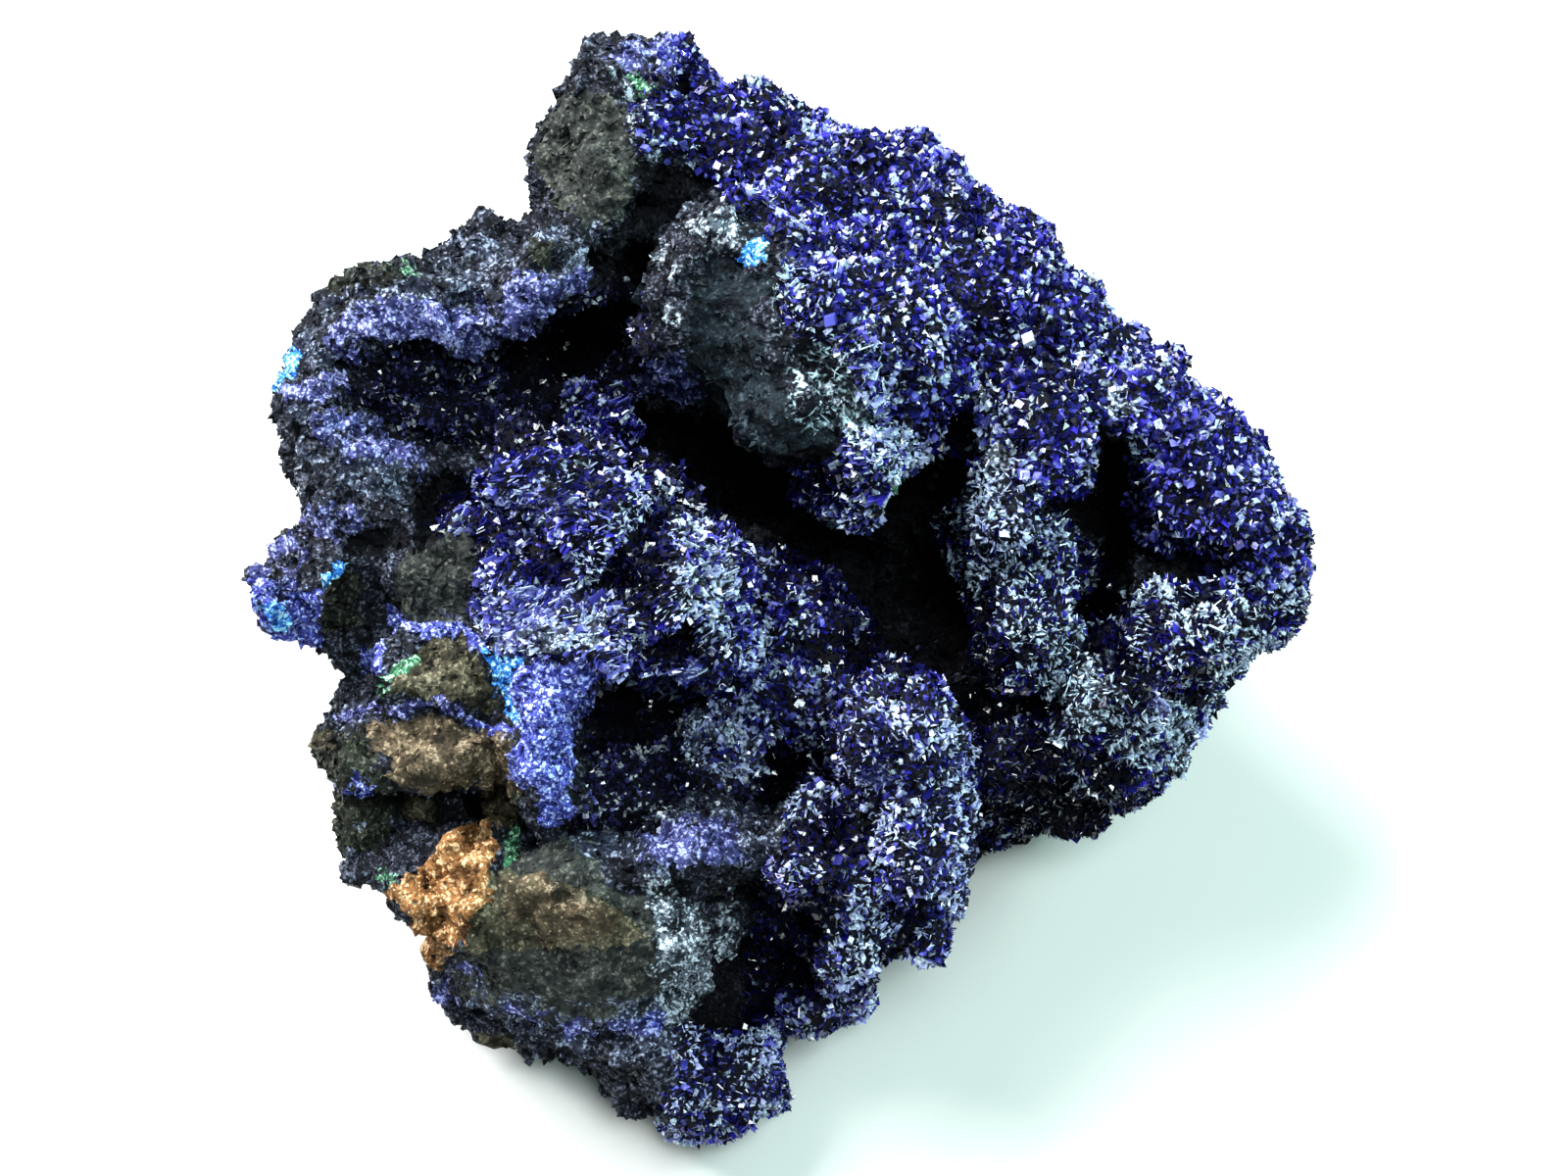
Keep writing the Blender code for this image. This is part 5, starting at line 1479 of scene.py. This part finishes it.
@dataclass
class HostRock:
    """The rock's visible surface, made from its solid. Sizes are in millimetres."""

    node: str = "host_rock"
    voxel: float = 0.50
    smoothing: int = 8
    triangles: int = 165_000
    base_band: float = 0.4
    trimmed: float = 0.4
    most_trim: float = 2.4
    seed: int = 5
    grain: Grain = field(init=False)

    def __post_init__(self) -> None:
        """Starts the rock's own noise."""
        self.grain = Grain(self.seed)

    def build(self) -> tuple[bpy.types.Object, MeshArrays, dict[str, np.ndarray]]:
        """Makes the surface.

        Returns:
            The object, its arrays, and how thick each crust is at its points.
        """
        rock = self.copy_of_solid()
        remesh = rock.modifiers.new("even_faces", "REMESH")
        remesh.mode = "VOXEL"
        remesh.voxel_size = self.voxel * MM
        smooth = rock.modifiers.new("soft_edges", "SMOOTH")
        smooth.factor = 0.5
        smooth.iterations = self.smoothing
        applied(rock)
        self.thin_out(rock)
        surface = MeshArrays.of(rock.data, {})
        places = self.trim(FACE.from_world(surface.points))
        outwards = surface.normals @ FACE.axes().T
        crusts = self.crusts(places, outwards)
        weights = self.stains(places, outwards, crusts)
        rise = self.relief(places, outwards, weights, crusts["ridge_crystals"])
        points = FACE.to_world(places) + surface.normals * (rise * MM)[:, None]
        low = surface.points[:, 2] < self.base_band * MM
        points[:, 2] = np.where(low, surface.points[:, 2], np.maximum(points[:, 2], 0))
        rock.data.vertices.foreach_set("co", points.astype(np.float32).ravel())
        rock.data.update()
        # HIGH holds how far the surface stands out; the materials darken low places by it as painted shade.
        weights[Stain.HIGH] = np.clip(0.5 + 0.42 * (rise - 0.8 * weights[Stain.DRUSE]), 0, 1)
        for stain, weight in weights.items():
            set_attribute(rock.data, stain.value, weight)
        set_attribute(rock.data, "tone", np.full(len(rise), 0.5))
        rock.data.shade_smooth()
        rock.data.materials.append(StoneFinish().make())
        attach(rock, BODY)
        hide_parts(self.node)
        return rock, MeshArrays.of(rock.data, weights), crusts

    def copy_of_solid(self) -> bpy.types.Object:
        """Returns a merged copy of the solid, under a new name."""
        bm = bmesh.new()
        bm.from_mesh(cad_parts[self.node].data)
        bmesh.ops.remove_doubles(bm, verts=bm.verts[:], dist=1e-6)
        mesh = bpy.data.meshes.new("rock_surface")
        bm.to_mesh(mesh)
        bm.free()
        return placed("rock_surface", mesh)

    def thin_out(self, rock: bpy.types.Object) -> None:
        """Takes faces away where the surface is under crystals or at the back.

        Args:
            rock: The surface, which is changed.
        """
        surface = MeshArrays.of(rock.data, {})
        places = FACE.from_world(surface.points)
        outwards = surface.normals @ FACE.axes().T
        hidden = np.max(list(self.crusts(places, outwards).values()), axis=0)
        spare = np.maximum(0.5 * hidden, facing_back(outwards))
        group = rock.vertex_groups.new(name="spare")
        levels = np.round(spare * 10).astype(int)
        for level in range(11):
            group.add(np.nonzero(levels == level)[0].tolist(), level / 10, "REPLACE")
        thin = rock.modifiers.new("fewer_faces", "DECIMATE")
        thin.ratio = min(1.0, self.triangles / len(surface.triangles))
        thin.vertex_group = group.name
        thin.vertex_group_factor = 3.0
        thin.use_collapse_triangulate = True
        applied(rock)
        rock.vertex_groups.clear()

    def trim(self, places: np.ndarray) -> np.ndarray:
        """Returns the places on the face, moved towards its middle in the trimmed zones."""
        spots = FACE.seen(places)
        moved = np.sum([zone.push * zone.weight(spots) for zone in ZONES if zone.stain is Stain.TRIM], axis=0)
        way = places * (1, 1, 0) / (np.linalg.norm(places[:, :2], axis=1, keepdims=True) + 1)
        return places + way * np.maximum(moved, -self.most_trim)[:, None]

    def crusts(self, places: np.ndarray, outwards: np.ndarray) -> dict[str, np.ndarray]:
        """Works out how thick each crust is.

        Args:
            places: The surface's points, on the face.
            outwards: Its normals, in the face's directions.

        Returns:
            A weight from 0 to 1 at each point, for each area.
        """
        warp = 0.78 * self.grain.cloud(places, 3.5)
        facing = smooth_step(outwards[:, 2] + 0.15 * self.grain.soft(places + 5, 4.0), -0.62, -0.35)
        high = smooth_step(places @ FACE.axes()[:, 2] + FACE.height, 2.0, 4.0)
        spots = FACE.seen(places)
        found = {}
        for area in AREAS:
            within = smooth_step(inset(area.outline, spots) + warp, -0.4, 0.7)
            deep = smooth_step(places[:, 2] + warp, area.least_w, area.least_w + 3)
            found[area.name] = within * deep * facing * high
        return found

    def stains(
        self, places: np.ndarray, outwards: np.ndarray, crusts: dict[str, np.ndarray]
    ) -> dict[Stain, np.ndarray]:
        """Works out what covers the rock, and where painted shade darkens it.

        Args:
            places: The surface's points, on the face.
            outwards: Its normals, in the face's directions.
            crusts: How thick each crust is.

        Returns:
            A weight at each point, for each stain.
        """
        cloud = self.grain.cloud
        warp = np.stack([cloud(places + 17 * k, 1.8) for k in (1, 2)], axis=1)
        spots = FACE.seen(places) + 0.4 * warp
        front, back = facing_front(outwards), facing_back(outwards)
        found = {stain: np.zeros(len(places)) for stain in Stain}
        for zone in ZONES:
            found[zone.stain] = np.maximum(found[zone.stain], zone.strength * zone.weight(spots) * front)
        matt = np.maximum(found[Stain.LAVENDER], np.maximum(found[Stain.FROST], 0.6 * found[Stain.PALE]))
        found[Stain.DRUSE] = np.max(list(crusts.values()), axis=0) * (1 - 0.8 * matt)
        for stain, size, low, strength in BACK_PATCHES:
            spread = smooth_step(cloud(places + 30 * size, size), low, low + 0.3)
            found[stain] = np.maximum(found[stain], back * spread * strength)
        # GLEAM takes the painted shade away.
        found[Stain.SHADE] = found[Stain.SHADE] * (1 - found[Stain.GLEAM])
        patchy = smooth_step(cloud(places + 77, 2.8), -0.45, 0.35)
        for stain in (Stain.FROST, Stain.LAVENDER, Stain.PALE):
            found[stain] = found[stain] * (0.45 + 0.55 * patchy)
        stony = (Stain.ASH, Stain.SLATE, Stain.BROWN, Stain.TAN, Stain.OCHRE)
        plain = np.max([found[stain] for stain in stony], axis=0)
        loose = smooth_step(cloud(places + 177, 2.4), 0.25, 0.6) * front * (1 - found[Stain.SHADE])
        found[Stain.FROST] = np.maximum(found[Stain.FROST], 0.5 * loose * (1 - plain))
        return found

    def patterns(self, places: np.ndarray, bend: np.ndarray) -> dict[str, np.ndarray]:
        """Makes the patterns of the surface, each about a millimetre high at most.

        Args:
            places: The surface's points, on the face.
            bend: A little bend for the cells.

        Returns:
            A value at each point, for each field of Texture that is a pattern.
        """
        grain = self.grain
        nearest, _, _ = grain.cells(places + 0.6 * bend, 3.1)
        close, next_close, level = grain.cells(places + 0.5 * bend, 2.4)
        return {
            "crags": grain.cloud(places + 3, 3.6, 4),
            "folds": 1 - 2.2 * np.abs(grain.cloud(places + 23, 5.0)),
            "grit": grain.cloud(places + 41, 1.1, 2),
            "seams": -np.clip(0.20 - (next_close - close), 0, 1) / 0.20,
            "steps": level - 0.5,
            "pits": -smooth_step(grain.cloud(places + 61, 1.7, 2), 0.35, 0.75),
            "clusters": np.clip(1 - nearest, 0, 1) - 0.35,
        }

    def relief(
        self, places: np.ndarray, outwards: np.ndarray, weights: dict[Stain, np.ndarray], ribbed: np.ndarray
    ) -> np.ndarray:
        """Works out how far the surface is pushed out.

        Args:
            places: The surface's points, on the face.
            outwards: Its normals, in the face's directions.
            weights: The stains there.
            ribbed: How strongly it runs in ribs.

        Returns:
            Millimetres at each point.
        """
        druse = weights[Stain.DRUSE]
        bend = self.grain.vectors(places, 2.0, (9, 18, 27))
        patterns = self.patterns(places, bend)
        plain = np.clip(weights[Stain.ASH] + weights[Stain.SLATE] + 0.6 * weights[Stain.TAN], 0, 1)
        bare = ROUGH.of(patterns) * (1 - plain) + FACETS.of(patterns) * plain
        along = 0.87 * places[:, 0] + 0.5 * places[:, 1]
        across = 0.87 * places[:, 1] - 0.5 * places[:, 0]
        lined = np.stack([0.28 * along, across, 0.5 * places[:, 2]], axis=1)
        ribs = 1 - 2.4 * np.abs(self.grain.cloud(lined + 13, 2.0, 2))
        crusted = CRUSTED.of(patterns) + ribbed * (ribs - 0.8 * patterns["clusters"])
        spots = FACE.seen(places) + 0.25 * bend[:, :2]
        pushing = [zone for zone in ZONES if zone.push and zone.stain is not Stain.TRIM]
        pushed = np.sum([zone.push * zone.weight(spots) for zone in pushing], axis=0) * facing_front(outwards)
        edge = smooth_step(outwards[:, 2], -0.8, -0.4) * (1 - smooth_step(outwards[:, 2], 0.1, 0.5))
        return bare * (1 - druse) + crusted * druse + pushed - self.trimmed * edge


@dataclass(frozen=True)
class Panel:
    """A soft light panel that faces the object, with its place and size in metres."""

    name: str
    place: tuple[float, float, float]
    size: tuple[float, float]
    glow: float
    colour: Colour
    aim: tuple[float, float, float] = (0.0, 0.0, 0.03)

    def hang(self) -> None:
        """Hangs the panel."""
        light = bpy.data.lights.new(self.name, "AREA")
        light.shape = "RECTANGLE"
        light.size, light.size_y = self.size
        light.energy = self.glow * math.pi * self.size[0] * self.size[1]
        light.color = self.colour
        panel = placed(self.name, light)
        panel.location = self.place
        panel.rotation_euler = (Vector(self.aim) - Vector(self.place)).to_track_quat("-Z", "Y").to_euler()


PANELS: tuple[Panel, ...] = (
    Panel("key", (-0.62, 0.42, 0.95), (0.85, 0.85), 18.5, (1.0, 0.99, 0.97)),
    Panel("front", (0.22, -0.45, 1.05), (0.45, 0.40), 20.0, (0.88, 1.0, 0.98)),
    Panel("rim", (0.75, 0.25, 0.65), (0.40, 0.50), 16.0, (0.72, 1.0, 0.93)),
)


@dataclass(frozen=True)
class Studio:
    """The floor, the lights and the camera, in metres."""

    floor_size: float = 3.0
    floor_greys: tuple[Colour, Colour] = ((0.47, 0.47, 0.47), (0.49, 0.49, 0.49))
    sky_colour: Colour = (0.55, 1.0, 0.92)
    sky_strength: float = 0.12
    lens: float = 60.0

    def build(self) -> None:
        """Makes them all."""
        self.floor()
        self.sky()
        for panel in PANELS:
            panel.hang()
        self.camera()

    def floor(self) -> None:
        """Makes the floor."""
        bm = bmesh.new()
        bmesh.ops.create_grid(bm, x_segments=1, y_segments=1, size=self.floor_size)
        mesh = bpy.data.meshes.new("floor")
        bm.to_mesh(mesh)
        bm.free()
        floor = placed("floor", mesh)
        sketch = NodeSketch("floor_paper")
        shade = sketch.mix(sketch.noise(40.0, 2), *self.floor_greys)
        floor.data.materials.append(sketch.dress(Base_Color=shade, Roughness=0.7))

    def sky(self) -> None:
        """Sets the even light from all round, and how tones are shown."""
        world = bpy.data.worlds.new("studio")
        world.use_nodes = True
        background = world.node_tree.nodes["Background"]
        background.inputs["Color"].default_value = (*self.sky_colour, 1.0)
        background.inputs["Strength"].default_value = self.sky_strength
        bpy.context.scene.world = world
        bpy.context.scene.view_settings.view_transform = "Standard"
        bpy.context.scene.view_settings.look = "Medium High Contrast"

    def camera(self) -> None:
        """Sets the camera square to the display face."""
        data = bpy.data.cameras.new("camera")
        data.sensor_width = 36.0
        data.lens = self.lens
        data.clip_start = 0.01
        camera = placed("camera", data)
        way = Vector(FACE.axes()[2])
        camera.location = Vector((0, 0, FACE.height * MM)) + way * FACE.distance * MM
        camera.rotation_euler = (-way).to_track_quat("-Z", "Y").to_euler()
        bpy.context.scene.camera = camera


def grit_density(surface: MeshArrays) -> np.ndarray:
    """Works out how thick the crystal grit is on the bare rock.

    Args:
        surface: The rock's visible surface.

    Returns:
        A weight from 0 to 1 at each point, less on stony faces, at the back and just over the base.
    """
    weights = surface.weights
    outwards = surface.normals @ FACE.axes()[2]
    stony = np.clip(weights[Stain.ASH] + weights[Stain.SLATE], 0, 1)
    earthy = np.clip(weights[Stain.OCHRE] + weights[Stain.TAN] + weights[Stain.BROWN], 0, 1)
    bare = (1 - weights[Stain.DRUSE]) * (0.16 + 0.84 * smooth_step(outwards, -0.3, 0.1))
    bare = bare * (1 - 0.75 * stony) * smooth_step(surface.points[:, 2] / MM, 0.9, 1.6)
    return bare * (1 - 0.8 * earthy)


def main() -> None:
    """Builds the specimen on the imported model, and its studio."""
    logging.basicConfig(level=logging.INFO, format="%(message)s")
    Studio().build()
    rock, surface, crusts = HostRock().build()
    LOG.info("rock_surface: %d triangles", len(surface.triangles))
    finishes = {"azurite": CRYSTAL_FINISH.make(), "azurite_in_shade": SHADE_FINISH.make()}
    spots = FACE.seen(FACE.from_world(surface.points))
    bare = grit_density(surface)
    matt = np.maximum(surface.weights[Stain.LAVENDER], surface.weights[Stain.FROST])
    for area in (*GRIT, *AREAS):
        if area.stained:
            density = bare * (inset(area.outline, spots) > 0)
            finish = rock.data.materials[0]
        else:
            density = crusts[area.name] * (1 - 0.55 * matt)
            finish = finishes.get(area.slot, finishes["azurite"])
        crust = CrystalCrust(area).build(surface, density, finish)
        LOG.info("%s: %d triangles", area.name, len(crust.data.polygons))


if __name__ == "__main__":
    main()
